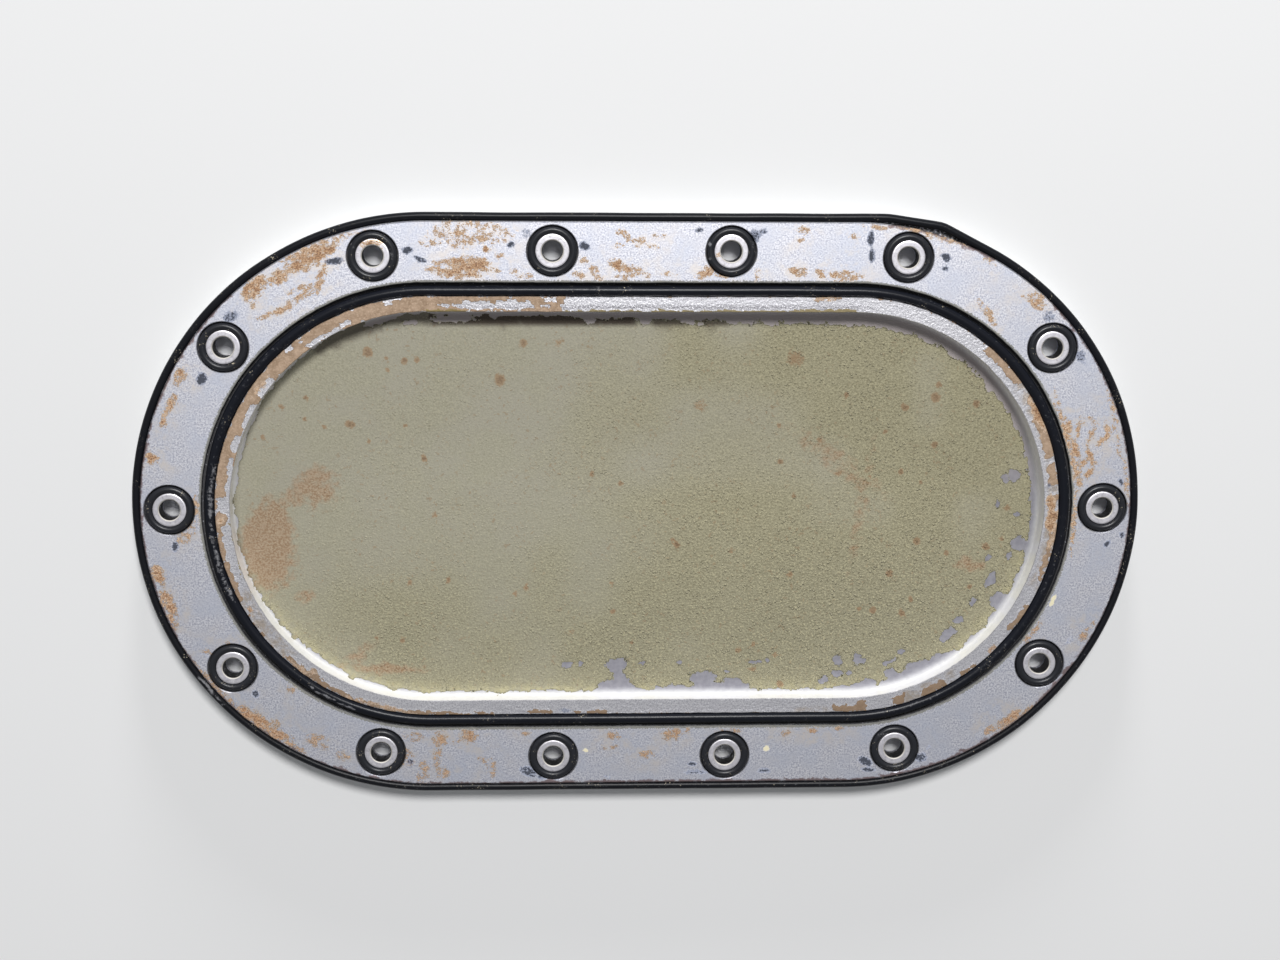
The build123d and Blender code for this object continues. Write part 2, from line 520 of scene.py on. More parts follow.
# %% [markdown]
# ## Screw seals and bushes
#
# A small rubber ring sits round each bush, so that fuel can't creep out past the screw. It is a plain
# torus pressed flat at its foot. A bush is a short metal sleeve, turned on a lathe and pressed into the
# plate so that the screw doesn't wear the soft aluminium. Its section shows the small chamfer at the
# bore that catches the light. One of each is turned here, and both are copied to every hole at the end.

# %% One screw seal and one bush
screw_ring = turn_round(section("screw_ring", cord_section(5.04, 7.46, 1.78, 18), True), 60)
bush_line = [
    (BORE, SEAT_FLOOR), (BORE, 5.0), (BORE, 7.7), (2.70, 7.84), (2.88, TOP), (3.3, TOP), (3.7, TOP),
    (3.98, TOP), (4.08, 7.95), (BUSH, TOP - BREAK), (BUSH, 6.0), (BUSH, SEAT_FLOOR), (3.3, SEAT_FLOOR),
]
sleeve = turn_round(section("sleeve", bush_line, True), 64)
for shape in (screw_ring, sleeve):
    face_outwards(shape)
    print(shape.name, "faces:", len(shape.data.polygons))

# %% [markdown]
# ## Painting the wear
#
# Wear has places: rust creeps in from a scratch, primer flakes from an edge that was rubbed. So it is
# laid on mark by mark, in places read along the door: a run along a stadium line and a radius.
# The amounts are kept as attributes on the corners of the mesh, where the materials can read them.


# %% Places along the door
def runs(points, line):
    """How far along a stadium line each point lies, from the right end of its upper side leftwards."""
    x = points[:, 0] / MM
    y = points[:, 1] / MM
    bend = line * math.pi
    left = RUN + line * ((np.arctan2(y, x + HALF_RUN) - math.pi / 2) % (2 * math.pi))
    right = 2 * RUN + bend + line * ((np.arctan2(y, x - HALF_RUN) + math.pi / 2) % (2 * math.pi))
    straight = np.where(y >= 0, HALF_RUN - x, 1.5 * RUN + bend + x)
    return np.where(x < -HALF_RUN, left, np.where(x > HALF_RUN, right, straight))


def place(run, radius, line):
    """Where a run along a line lies, at a radius of its own, and the heading there in degrees."""
    bend = line * math.pi
    if run < RUN:
        return HALF_RUN - run, radius, 180.0
    if run < RUN + bend:
        turn = (run - RUN) / line + math.pi / 2
        return -HALF_RUN + radius * math.cos(turn), radius * math.sin(turn), math.degrees(turn) + 90
    if run < 2 * RUN + bend:
        return run - 1.5 * RUN - bend, -radius, 0.0
    turn = (run - 2 * RUN - bend) / line - math.pi / 2
    return HALF_RUN + radius * math.cos(turn), radius * math.sin(turn), math.degrees(turn) + 90


# %% [markdown]
# ## Marks and strips
#
# A mark is a soft oval: run, radius, length, width, depth in hundredths and, if it is turned, an angle.
# It fades from full depth at its middle to nothing a little outside its size, and it is laid through
# the wandering grain, so that no two look alike. A strip follows the door from one run to another,
# between two radii, as paint on the lip does.


# %% Laying marks and strips
def marks_at(points, rows, line=None, torn=0.35, grow=0.0):
    """The deepest mark at each point. Without a line, a row starts with x and y and not with a run."""
    x = points[:, 0] / MM
    y = points[:, 1] / MM
    value = np.zeros(len(points))
    for index, row in enumerate(rows):
        depth, turn = row[4:] + (100, 0)[len(row) - 4:]
        mx, my, heading = place(row[0], row[1], line) if line else (row[0], row[1], 0.0)
        long = max(row[2] + grow, 1.0)
        wide = max(row[3] + grow, 1.0)
        near = np.flatnonzero((np.abs(x - mx) < long + 1.5) & (np.abs(y - my) < long + 1.5))
        if not len(near):
            continue
        local = wander(points[near], max(wide, 0.8) * 0.9, wide * torn * 0.5, index * 0.37)
        dx = local[:, 0] / MM - mx
        dy = local[:, 1] / MM - my
        c = math.cos(math.radians(heading - turn))
        s = math.sin(math.radians(heading - turn))
        u = (dx * c + dy * s) / long * 2
        v = (-dx * s + dy * c) / wide * 2
        value[near] = np.maximum(value[near], depth / 100 * np.clip(1.75 - np.hypot(u, v), 0, 1))
    return value


def strips_at(points, rows, line):
    """Strips along a line at each point: rows of start and end run, inner and outer radius, depth."""
    length_round = 2 * RUN + 2 * math.pi * line
    along = runs(points, line) + (grain(points, 2.2, 0.3) - 0.5) * 2.0
    across = outward(points)[0] / MM
    value = np.zeros(len(points))
    for index, (start, end, inner, outer, depth) in enumerate(rows):
        here = (along - start) % length_round
        here = np.where(here > (length_round + end - start) / 2, here - length_round, here)
        fray = (grain(points, 1.5, index * 1.3 + 4) - 0.5) * 0.9 + (grain(points, 0.7, index) - 0.5) * 0.5
        side = np.minimum(across + fray - inner, outer - across - fray)
        ends = np.minimum(here, end - start - here)
        shape = np.clip(np.minimum(side / 0.8, ends / 1.0) + 0.5, 0, 1)
        value = np.maximum(value, depth / 100 * shape)
    return value


def keep(obj, label, values):
    """Stores an amount on every corner of a mesh under a name."""
    mark = obj.data.attributes.get(label) or obj.data.attributes.new(label, "FLOAT", "POINT")
    mark.data.foreach_set("value", np.asarray(values, dtype=np.float32))


# %% [markdown]
# ## Where the land is worn
#
# These rows were read off the object with a ruler laid along its edge, on the line of the screws. Rust
# on an aluminium door is really stain from steel nearby and from old primer: pale tan at its rim,
# orange and brown at its heart. The scuffs are dark grease, and the flecks are drops of pale paint.

# %% Stains, scuffs and flecks on the land
STAINS = [
    (3, 57.6, 7, 2, 75), (8, 58.2, 3, 1.5, 60, 20), (13, 68.6, 2, 1.5, 75), (13.5, 66.3, 1.2, 1.2, 50),
    (14, 58.7, 3.5, 1.6, 70, 10), (0.5, 67.3, 1.5, 1.2, 60), (24, 57.6, 1.5, 2.5, 60),
    (33, 58, 3, 1.6, 60), (36, 58.6, 4, 2.2, 80, -20), (45.5, 58, 3, 1, 50), (48, 66.8, 3.5, 1.2, 55),
    (53, 65.8, 4, 1.4, 60), (56.5, 67.5, 3, 1.5, 55, 30), (58, 64.8, 2, 1, 50), (49, 64.5, 2, 1, 50),
    (52.5, 58.7, 4, 1.3, 80, 30), (57, 59.8, 5, 1.8, 100, 25), (55.5, 57.4, 4, 1, 70),
    (63.5, 58.5, 3.5, 1.5, 65, 50), (67, 57.7, 3, 1.2, 60, 20), (66, 61, 1.5, 1, 50),
    (93, 67.8, 15, 4, 42), (96, 66.2, 5, 3, 75, 20), (90, 66.6, 5, 2, 55), (100, 67.5, 5, 1.6, 50, 10),
    (103, 65.5, 4, 1.2, 45), (86, 68, 3, 1.5, 50), (84.5, 66, 2, 1, 50), (89.6, 63.9, 1.1, 1.1, 140),
    (86.5, 62.2, 1.6, 1, 80), (97, 64.6, 1.6, 1.1, 90), (94, 60.2, 7, 3, 115, 10), (90.5, 60.8, 3, 2, 80),
    (99, 60.5, 5, 1.5, 60), (96, 58, 8, 1.8, 85), (88, 58.6, 3, 1.2, 60), (101.5, 58.5, 4, 1.6, 70, 10),
    (80.5, 57.5, 3, 1, 50), (83, 59, 2, 1, 50), (128.5, 68.2, 7, 3.4, 105), (134, 67.5, 7, 2.8, 100, -5),
    (139, 67.2, 4, 2.5, 95), (131, 69.7, 12, 1, 70), (145.5, 68, 5.5, 3.2, 105, -10),
    (147, 65.9, 3, 1.2, 60, -40), (125, 69, 5, 1.2, 60), (121, 69.7, 6, 1, 50), (133, 66, 9, 1.4, 60, 5),
    (131, 62, 6, 1.6, 85, -45), (134.5, 60.8, 4, 1.4, 80, -20), (138, 60.5, 6, 1, 70, 5),
    (143, 60.3, 6, 1.2, 75, 10), (129, 64.3, 3, 1.2, 60, -50), (137, 62.5, 4, 1, 50),
    (147.5, 61.5, 4, 1, 50, 20), (171.5, 68.2, 4, 2, 90), (178.5, 67.6, 4.5, 1.5, 95, 10),
    (183, 68, 2, 1.2, 80), (191.7, 68.4, 2, 2.2, 100), (209, 58.5, 5, 1.6, 55, 30), (204, 57, 6, 1.2, 50),
    (211, 60.5, 2, 3, 40), (219, 68.8, 3.5, 2.2, 95), (226, 68.7, 6, 2.4, 105), (230, 69.6, 4, 1.2, 70),
    (241.8, 60.5, 1.5, 1.2, 80), (240, 66, 3, 1, 50, -40), (256.5, 69.3, 4, 2, 90),
    (261, 68.7, 6, 2.6, 105), (266, 69, 6, 2, 95, -10), (270.5, 69.6, 5, 1, 60), (264, 66.8, 2.5, 1, 50),
    (252.5, 69.8, 4, 1, 50), (275, 65.5, 5, 2.5, 40), (262, 57.6, 2, 1.2, 60), (282, 66.5, 3, 2, 35),
    (297, 64, 3, 4, 40), (301, 67.5, 2, 4, 40), (298, 58.5, 4, 2, 35), (305.5, 58.6, 2.5, 2.6, 80, 90),
    (304.5, 63.5, 2, 4, 45), (306, 67.5, 2.5, 2.5, 50), (312.5, 58.2, 3, 2.4, 105),
    (309.5, 59.5, 1.5, 1, 50), (318, 66.5, 1.8, 4, 50, 10), (316, 64.3, 2, 1.2, 40),
    (326.5, 57.5, 2, 1, 50), (349.2, 58.3, 2.5, 2, 75), (346.5, 61.2, 1.3, 1, 50),
    (349.3, 61.2, 1.2, 1, 55), (357.4, 63.2, 2.5, 1.6, 60), (363.8, 58, 4, 2.2, 85),
    (367.5, 57, 2, 1, 50), (378, 57.2, 5, 0.7, 40), (392.5, 57.7, 2, 1.2, 70), (399.2, 57.2, 2.5, 1, 80),
    (406.5, 56.8, 2, 0.8, 55), (444, 68.5, 2, 1.2, 80), (449, 69.3, 6, 2, 105), (453, 70, 5, 1, 70),
    (475.6, 68.6, 2.5, 1.6, 80), (478, 69.3, 3, 0.8, 60), (467, 57.3, 2, 1.6, 60),
    (471, 57.2, 3, 1.2, 60), (505, 56.6, 14, 1, 70), (515.5, 57.8, 3, 2, 85),
    (516.5, 60.3, 2.5, 1.3, 80, 30), (520.8, 61.3, 4, 1.2, 105, -10), (519.5, 58.5, 2, 2.4, 95),
    (523.5, 57.8, 4, 1.6, 100), (524.4, 65.8, 4, 1, 75, 60), (526.5, 66.8, 3, 1, 60),
    (526.2, 62.6, 3.5, 1, 90, 40), (529.5, 63.8, 2.5, 1, 70, -30), (530.5, 61.5, 2, 1, 50),
    (528.5, 59.8, 2.5, 1, 85, 20), (530.6, 58, 4, 1.3, 90), (523, 68.5, 8, 1, 40),
    (513.5, 69.5, 8, 1, 50), (531, 69.6, 7, 1.2, 50), (536.7, 57.2, 2.5, 1.2, 60), (526, 56.6, 18, 1, 80),
    (561.5, 68.3, 4, 2, 75), (562, 69.8, 3, 1, 60), (564.5, 66.8, 1.5, 1, 50),
    (568.4, 58.3, 4.5, 1.4, 80, 25), (572, 59.4, 2.5, 1, 60, 30), (575.5, 69.7, 2.5, 0.8, 60),
    (590, 70, 12, 1, 60), (603, 69.6, 6, 1, 50), (247, 69.9, 10, 1, 45),
]
SCUFFS = [
    (25, 67.2, 3, 2.4, 75), (22.5, 68.3, 1.5, 0.8, 80), (38.3, 68.6, 1.6, 0.8, 90),
    (66, 64.6, 2, 1.7, 100), (83.6, 65, 1.4, 1.1, 95), (80, 67.8, 2, 2, 50), (108.5, 63.8, 2, 1.6, 100),
    (105.5, 61.4, 2.8, 0.8, 90, 25), (126, 64.8, 3.2, 1.5, 100, 10), (127, 63, 3, 1, 30),
    (153.5, 66.8, 3.5, 2, 75, 20), (169.7, 63.4, 2.4, 2, 100), (213, 63, 2, 1.5, 95),
    (240.5, 67, 2, 1.5, 35), (255.7, 64, 1.6, 1.4, 90), (298, 64.8, 1.6, 1.4, 80, 90),
    (327.5, 67.5, 3.5, 2.4, 85, 20), (331, 69, 2.5, 0.8, 70), (347.5, 69, 2, 1, 40),
    (369, 65.8, 1.8, 1.1, 90), (370, 68, 5, 1.3, 65), (387.2, 67.6, 3, 1.2, 75),
    (413, 65.8, 3, 1.6, 100, 30), (413.5, 68, 3, 1, 90, 10), (426.3, 67.3, 3, 2, 85, 20),
    (429, 65.6, 2, 1.2, 40), (473, 66, 2.5, 1.5, 40), (498.4, 65.7, 1.6, 1, 95, 20),
    (500.8, 69.2, 1.3, 0.8, 90), (513.3, 68.2, 1.8, 1, 90), (545, 67.8, 3, 2, 65),
    (557, 67.6, 2.6, 3, 60), (585.2, 66, 1.6, 1.8, 100, 90), (584.5, 63.4, 1.2, 0.9, 90),
    (603.6, 66.8, 1.2, 2.8, 100), (603.3, 62.8, 1.2, 2.6, 95),
]
FLECKS = [(342, 62, 1.1, 0.9, 90), (387.8, 62, 1.6, 1.5, 70), (480, 57.2, 3, 0.8, 80)]
EDGE_LINES = [
    (150, 330, 70, 70.9, 90), (330, 470, 69.8, 70.9, 100), (470, 560, 70, 70.9, 80),
    (575, 600, 69.8, 70.9, 100),
]
print("marks on the land:", len(STAINS) + len(SCUFFS) + len(FLECKS))

# %% [markdown]
# ## Where the lip is worn
#
# The primer on the lip survives in strips and has chips out of it. A few strips of the bare metal are
# tinted by its last thin film, and where the pan's coating reached the lip's edge, an olive line is
# left. The runs go along the middle of the lip.

# %% Primer, chips, tints and stains on the lip
LIP_LINE = 50.65
PRIMER = [
    (71, 77.5, 48.9, 52.4, 100), (77, 101.5, 51.7, 52.5, 100), (77, 79.5, 50.8, 52.5, 100),
    (81, 82.4, 51.1, 52.5, 100), (84.6, 85.8, 51.2, 52.5, 100), (87.4, 89, 50.7, 52.5, 100),
    (91.6, 93.6, 51, 52.5, 100), (96, 101.5, 50.9, 52.5, 100), (78, 96, 48.7, 49.4, 90),
    (94, 101.5, 48.7, 49.8, 90), (101, 181.5, 48.8, 52.5, 100), (181, 206, 51.3, 52.5, 95),
    (184, 187.5, 49.6, 51.5, 90), (206, 224, 51.9, 52.4, 55), (224, 234.5, 50.9, 52.3, 95),
    (230.8, 232.8, 50, 51.5, 90), (234, 262, 51.5, 52.4, 95), (262, 279.5, 51.9, 52.5, 90),
    (287.5, 293, 51.6, 52.4, 95), (298, 301, 51.7, 52.5, 90), (302, 307.5, 51.6, 52.5, 95),
    (363.5, 372.5, 50.8, 52.4, 95), (370, 372.8, 49.8, 51.5, 90), (378.8, 382, 50.2, 52.2, 90),
    (386, 394, 50.4, 52.5, 65), (397, 402, 51.7, 52.5, 90), (413.5, 421, 51.1, 52.5, 90),
    (428.5, 441, 50.8, 52.5, 70), (441, 450, 49.8, 52.6, 95), (452, 458, 50.2, 52.6, 80),
    (459, 470, 50.2, 52.6, 95), (468, 475, 51.2, 52.6, 90), (479.5, 491.5, 50.7, 52.5, 95),
    (491, 526.2, 52.3, 52.7, 60), (0, 71, 52.4, 52.7, 45), (3.5, 10, 51.9, 52.5, 90),
    (309, 363, 52.3, 52.6, 50),
]
CHIPPED = [
    (72.5, 75, 50.9, 52, 100), (74.5, 76, 50, 50.8, 100), (112.2, 114, 50.9, 51.7, 100),
    (123.3, 126, 49.4, 50.5, 100), (126, 131, 48.7, 49.9, 100), (126.8, 128, 51.6, 52.2, 100),
    (131, 135.5, 48.7, 50, 100), (138, 140.5, 51.1, 51.9, 100), (135.5, 136.5, 51.6, 52, 100),
    (147.5, 153, 48.7, 50.6, 100), (155, 162, 48.7, 50.2, 100), (164, 168.5, 48.7, 50.6, 100),
    (170, 181, 48.7, 50.2, 100), (180.5, 184, 48.7, 52, 100), (444, 448.5, 51.6, 52.4, 90),
    (451, 452.2, 49.8, 52, 100), (458.2, 459.2, 49.8, 52, 100),
]
LIP_TINTS = [
    (205, 225, 49.3, 52.2, 80), (354, 363, 51, 52.6, 60), (382, 396, 49.6, 52.6, 80),
    (426, 480, 49.8, 52.6, 80),
]
LIP_RUST = [
    (443.5, 51, 4, 2.2, 135), (448, 50.6, 3, 1.6, 110), (470.5, 51.8, 6, 1.5, 135),
    (407.5, 51.7, 2, 1, 70), (210, 51.2, 1.6, 1.2, 80), (231.5, 50.6, 1.5, 1, 60),
    (186, 50.8, 2, 1, 60, 60), (151, 50.6, 5, 1, 50), (438, 52, 3, 1, 70), (7, 52.1, 5, 1, 50),
    (228, 52, 8, 1, 50), (250, 51.6, 14, 1, 45),
]
LIP_SCUFFS = [(296.4, 51.6, 3, 1.4, 60), (452.5, 50.2, 1.5, 1, 60)]
OLIVE_RIM = [
    (0, 71, 48.2, 49.15, 100), (0, 14, 48.2, 49.4, 100), (186, 212, 48.5, 49, 60),
    (94, 104, 48.3, 49.3, 90),
]
print("strips on the lip:", len(PRIMER) + len(CHIPPED))

# %% [markdown]
# ## Where the pan is worn
#
# Small rust spots and soft brown pools lie in the coating, given by x, y and size, and by a depth
# where a spot differs from the rest. They were read at the height of the lip, so they are moved to
# where the line of sight meets the floor of the pan. The coating's edge is a chain of runs and radii,
# and the chips are marks along the pan's wall.


# %% Spots, pools and chips in the pan
def under_rim(rows):
    """Moves rows read at the height of the lip to where the line of sight meets the pan floor."""
    eye_x, eye_y, eye_z = EYE
    nearer = round((eye_z - TOP) / (eye_z - PAN_FLOOR), 4)
    return [((x - eye_x) / nearer + eye_x, (y - eye_y) / nearer + eye_y, *rest) for x, y, *rest in rows]


SPOTS = [
    (-34.3, 32.3, 2.5), (-53.2, 13, 1.2, 100), (-28.8, 41.2, 1.6), (-54.7, 37, 1.3), (-57.8, 36.7, 1.5),
    (-66.5, 39, 2), (-62, 37.5, 1), (-61.8, 34.5, 1), (-71, 21.2, 2), (-57.6, 21, 0.8), (-66.5, 17, 0.8),
    (-81.7, 27.8, 0.5), (-87.5, 25.5, 0.5), (-92.5, 18.2, 0.5), (-82, 22.5, 0.6), (-77.3, 20.7, 0.6),
    (-20, 41.3, 2.5, 45), (-50.7, -1.2, 0.8), (-5, 6.5, 1.2), (-12, 8.7, 0.8), (-57, -18.3, 1),
    (-59.2, -33.2, 1), (-65.5, -32.5, 0.8), (-47.5, -17.7, 0.7), (-28.3, -19.8, 0.7), (-31, -21.2, 0.8),
    (-7, -18.7, 1), (-17, -31, 1.5, 45), (-6.7, -26, 1.3), (-2, -34, 1), (37.5, 37.5, 3.5, 60),
    (15, 26, 3, 45), (34, 21, 1), (44, 17.3, 1.2), (50.5, 28.5, 1), (34.5, 11.8, 0.6, 100), (49, 9, 1.2),
    (57, 8.5, 0.9), (38, 3.2, 1), (64.5, 9.3, 1.3), (60.3, 19.4, 1), (65, 25.4, 1.6), (72.7, 27.7, 2),
    (73.3, 31, 1.4), (82.8, 26.2, 1.8), (72.7, 16.1, 1.7), (69.5, 6.5, 1), (9, -9, 1.2, 100),
    (8, -7.8, 0.6), (5.8, 1.7, 1.2, 45), (22.7, -10.8, 1), (37.5, -16.7, 1.2), (62.5, -16.5, 1.5),
    (58.5, -26.1, 1.5), (55, -25.5, 1.1), (65.8, -26.8, 1.5), (68, -23.4, 1), (69, -8.5, 1.8),
    (76.5, -11.3, 1.2), (86.3, -9.7, 1.7), (90.5, -7.8, 1), (91.5, 0.2, 1.3), (82.7, -20, 1.2),
    (24.7, -36, 1.3), (28.5, -34.5, 1), (34, -37.5, 1), (28.5, -41, 1.2), (35.5, -45, 1.5),
]
POOLS = [
    (-91.5, -9, 17, 10, 100, 90), (-92, -13, 7, 7, 100), (-79.5, 6, 9, 9, 60), (-85, 3, 6, 5, 50),
    (-62, -40.5, 13, 2, 80), (-83, -22, 4, 3, 50), (49, 11.5, 24, 5, 40, 36), (55, 0, 29, 3, 35, -81),
    (82.5, -14, 6, 4, 50), (-70, -37, 10, 3, 40, -35),
]
SPOT_ROWS = under_rim([(x, y, size, size, *(depth or [80])) for x, y, size, *depth in SPOTS])
POOL_ROWS = under_rim(POOLS)
CHIPS = [
    (303.7, 41.5, 4, 3), (304.2, 44.3, 2.6, 3.4), (303.5, 46.6, 6.5, 2.6), (291.2, 41.2, 2.6, 1.1),
    (294.6, 41.1, 0.9, 0.9), (310.4, 41.1, 1.3, 1), (319.8, 41, 1.2, 1), (325.8, 45, 6, 2.8),
    (326.5, 47, 5, 2), (333.3, 46, 4, 1.6), (331.8, 43.6, 1.4, 0.9), (335, 47.2, 4, 1), (339, 41, 2.8, 1),
    (342, 40.5, 1, 0.9), (356.6, 46, 2, 1.6), (360, 44.3, 2.6, 1.5), (363.3, 44.1, 1.4, 0.9),
    (360, 40.8, 2, 2.6), (366.8, 41.1, 3, 1.1), (366, 39.8, 1.8, 1), (368, 47.2, 4, 1.5),
    (374.8, 46, 2.4, 2), (375, 43, 3, 0.9), (379.4, 41.5, 1.8, 1.1), (381.8, 46.5, 4.6, 2.6),
    (387.5, 47, 3, 1.6), (394, 43.4, 3.6, 2), (399, 42.3, 2.2, 1.5), (405.8, 42, 2.2, 1.1),
    (410.3, 46.4, 3.4, 2.8), (414.2, 42.2, 3.8, 1.5), (420, 39.2, 1.6, 0.9), (422.6, 44, 2, 1),
    (426.7, 45.4, 3.2, 2.8), (434.8, 43.7, 1.2, 1), (437.8, 38.5, 2, 1), (446, 43.2, 2.2, 2.4),
    (445.6, 40.8, 2.4, 1.6), (472, 45.8, 1.8, 1), (64.5, 46.2, 2.5, 1.6), (98, 46.4, 9, 1.4),
    (61, 47.3, 9, 1), (88, 47.4, 2, 0.8), (117, 47.4, 6, 1), (109, 45.6, 3, 1),
]
COAT_EDGE = [
    (0, 45.1), (10, 45.2), (25, 45.2), (31, 45.4), (33, 46), (37, 45.9), (38.5, 45.3), (41, 45.2),
    (43, 46.1), (48, 46.2), (49.5, 45.2), (52, 45.2), (54, 46.9), (66, 46.9), (80, 47.2), (94, 47),
    (103, 47.6), (115, 47.4), (121, 48.3), (170, 48.3), (240, 48.2), (298, 48.1), (300, 47), (307, 46.8),
    (309, 48), (318, 47.3), (322, 47.3), (330, 46.9), (336, 47), (338, 48), (355, 47.9), (365, 47.2),
    (371, 48), (379, 46.6), (384, 46.6), (390, 46.8), (392, 48), (408, 47.9), (413.5, 48), (424, 47.5),
    (433, 46.9), (440, 46.6), (448, 46.9), (456, 46.9), (462, 46.6), (470, 46), (480, 45.7), (490, 45.5),
    (500, 45.1), (514, 45),
]
# painted shadow on the coating under the upper rim of the pan
SHADE = [
    (30.5, 37.5, 44.6, 46.6, 90), (40.5, 49, 44.4, 46.8, 90), (53, 104, 44.8, 49, 100),
    (104, 134, 45.6, 49, 60),
]
print("spots and chips in the pan:", len(SPOTS) + len(CHIPS))

# %% [markdown]
# ## Where the rubber and the bushes are worn
#
# Dust has settled on the seals in short strips, a few flecks of paint have dried on the cord, and two
# of the bushes are stained. One pale strip on the main seal, at runs 232.5 to 245, is a painted
# highlight. The rings' grit and the bushes' stains are given by x and y, and the strips on both long
# seals by runs along the middle of the lip.

# %% Dust and stains on the small pieces
BUSH_STAINS = [(-64.8, 65.1, 4.2, 1.6, 95, -5), (-63, 64.2, 2, 1.2, 60, -40), (18.9, 62.6, 1.2, 2, 45)]
RING_GRIT = [
    (12.2, -62, 1.2, 3.4, 100, -20), (62.5, -58.6, 4, 1.2, 70), (58.7, -64.5, 1, 1, 80),
    (-69.8, 64.8, 1.6, 1, 70, 50), (-60.4, 62.6, 1, 3, 50), (16.4, 65.3, 1, 1, 90),
    (16.6, 61.8, 1, 1, 80), (27, 65, 1.2, 2, 50),
]
SEAL_MARKS = [
    (2, 10, 54.2, 54.8, 60), (84, 92, 54.7, 55.1, 80), (172, 206, 52.8, 54.2, 68),
    # painted highlight: the strip from run 232.5 to 245 on the main seal
    (232.5, 245, 54.1, 54.6, 130), (376, 392, 53.1, 53.9, 60), (443, 462, 54.6, 55.4, 60),
    (10.6, 11.4, 53.8, 54.6, 130), (62.4, 63.8, 54.5, 55.1, 100), (109, 125, 53.2, 53.7, 50),
    (140, 172, 53, 55, 35), (392, 443, 53, 55, 35), (462, 480, 53, 55, 40), (486, 512, 54.5, 55.1, 50),
    (492, 521, 52.7, 53.2, 45),
]
CORD_MARKS = [
    (215.4, 219.7, 71.2, 71.8, 140), (220.5, 222, 71.2, 71.8, 100), (290, 420, 71, 72.5, 35),
    (236, 262, 71, 72.5, 35),
]
print("strips on the rubber:", len(SEAL_MARKS) + len(CORD_MARKS))

# %% [markdown]
# ## A finer mesh where the marks are
#
# A mark can only be as sharp as the mesh that carries it. The faces under the marks are subdivided,
# and the rest stays coarse. This comes before the painting, because the new corners need their amounts.

# %% Refine under the marks
middles = read_rows(plate.data.polygons, "center")
height = middles[:, 2] / MM
on_land = height > LEDGE_TOP - 0.1
in_pan = np.abs(height - PAN_FLOOR) < 0.1
land_marks = marks_at(middles, STAINS + SCUFFS + FLECKS, BOLTS) * on_land
pan_marks = (marks_at(middles, SPOT_ROWS) + marks_at(middles, CHIPS, PAN)) * in_pan
area = np.empty(len(middles))
plate.data.polygons.foreach_get("area", area)
open_with(plate, "polygons", (land_marks + pan_marks > 0.02) & (area > 0.3 * MM * MM))
bpy.ops.mesh.subdivide(number_cuts=1)
close(plate)
print("plate faces after refining:", len(plate.data.polygons))

# %% [markdown]
# ## The plate's paint
#
# Now every corner of the plate gets its amounts. A height and a distance outward tell which region a
# corner belongs to, and each amount is cut off outside its own region.

# %% Paint the land
points = corners_of(plate)
x, y, height = (points / MM).T
out = outward(points)[0] / MM
top = height > LEDGE_TOP - 0.1
floor = (height > PAN_FLOOR - 0.1) & (height < PAN_FLOOR + FOOT + 0.1) & (out < PAN)
on_lip = (height > TOP - 0.2) & (out > PAN - 0.1) & (out < LIP + 0.2)
rust = np.maximum(marks_at(points, STAINS, BOLTS), marks_at(points, LIP_RUST, LIP_LINE)) * top
keep(plate, "rust", rust + marks_at(points, SPOT_ROWS) * floor)
halo = np.clip(marks_at(points, STAINS, BOLTS, grow=6.0), 0, 1)
keep(plate, "halo", halo * (height > TOP - 0.4) * (out > GROOVE - 0.1))
scuff = np.maximum(marks_at(points, SCUFFS, BOLTS), marks_at(points, LIP_SCUFFS, LIP_LINE))
keep(plate, "scuff", scuff * top)
keep(plate, "fleck", marks_at(points, FLECKS, BOLTS) * top)
keep(plate, "edge_line", strips_at(points, EDGE_LINES, BOLTS) * (height > TOP - 0.6))
verge = np.clip(1.3 - np.abs(out - GROOVE - BREAK) / 0.45, 0, 1)
keep(plate, "verge", verge * (height > TOP - 0.6))
# painted shade: an amount that grows towards the bottom, where rust, primer and coating are painted darker
keep(plate, "low", np.clip((15 - y) / 55, 0, 1))
# painted light: an amount that grows towards the upper side, where the bare floor in the rim's shadow is
# painted lighter
keep(plate, "far", np.clip(y / 25, 0, 1))
print("corners with rust:", int((rust > 0.5).sum()))

# %% Paint the lip
primer = strips_at(points, PRIMER, LIP_LINE) - strips_at(points, CHIPPED, LIP_LINE)
primer = np.clip(primer, 0, 1) * on_lip
keep(plate, "primer", primer)
upper_run = (y > 0) * np.clip((60 - np.abs(x)) / 8, 0, 1)
# painted shade: a darker band along the inner part of the lip, on its upper run
keep(plate, "inner", np.clip(1.0 - np.abs(out - PAN - 1.1) / 0.9, 0, 1) * on_lip * upper_run)
keep(plate, "tint", strips_at(points, LIP_TINTS, LIP_LINE) * on_lip)
olive = strips_at(points, OLIVE_RIM, LIP_LINE)
keep(plate, "olive", olive * (height > TOP - 0.4) * (out < PAN + 0.8))
print("corners with primer:", int((primer > 0.5).sum()))

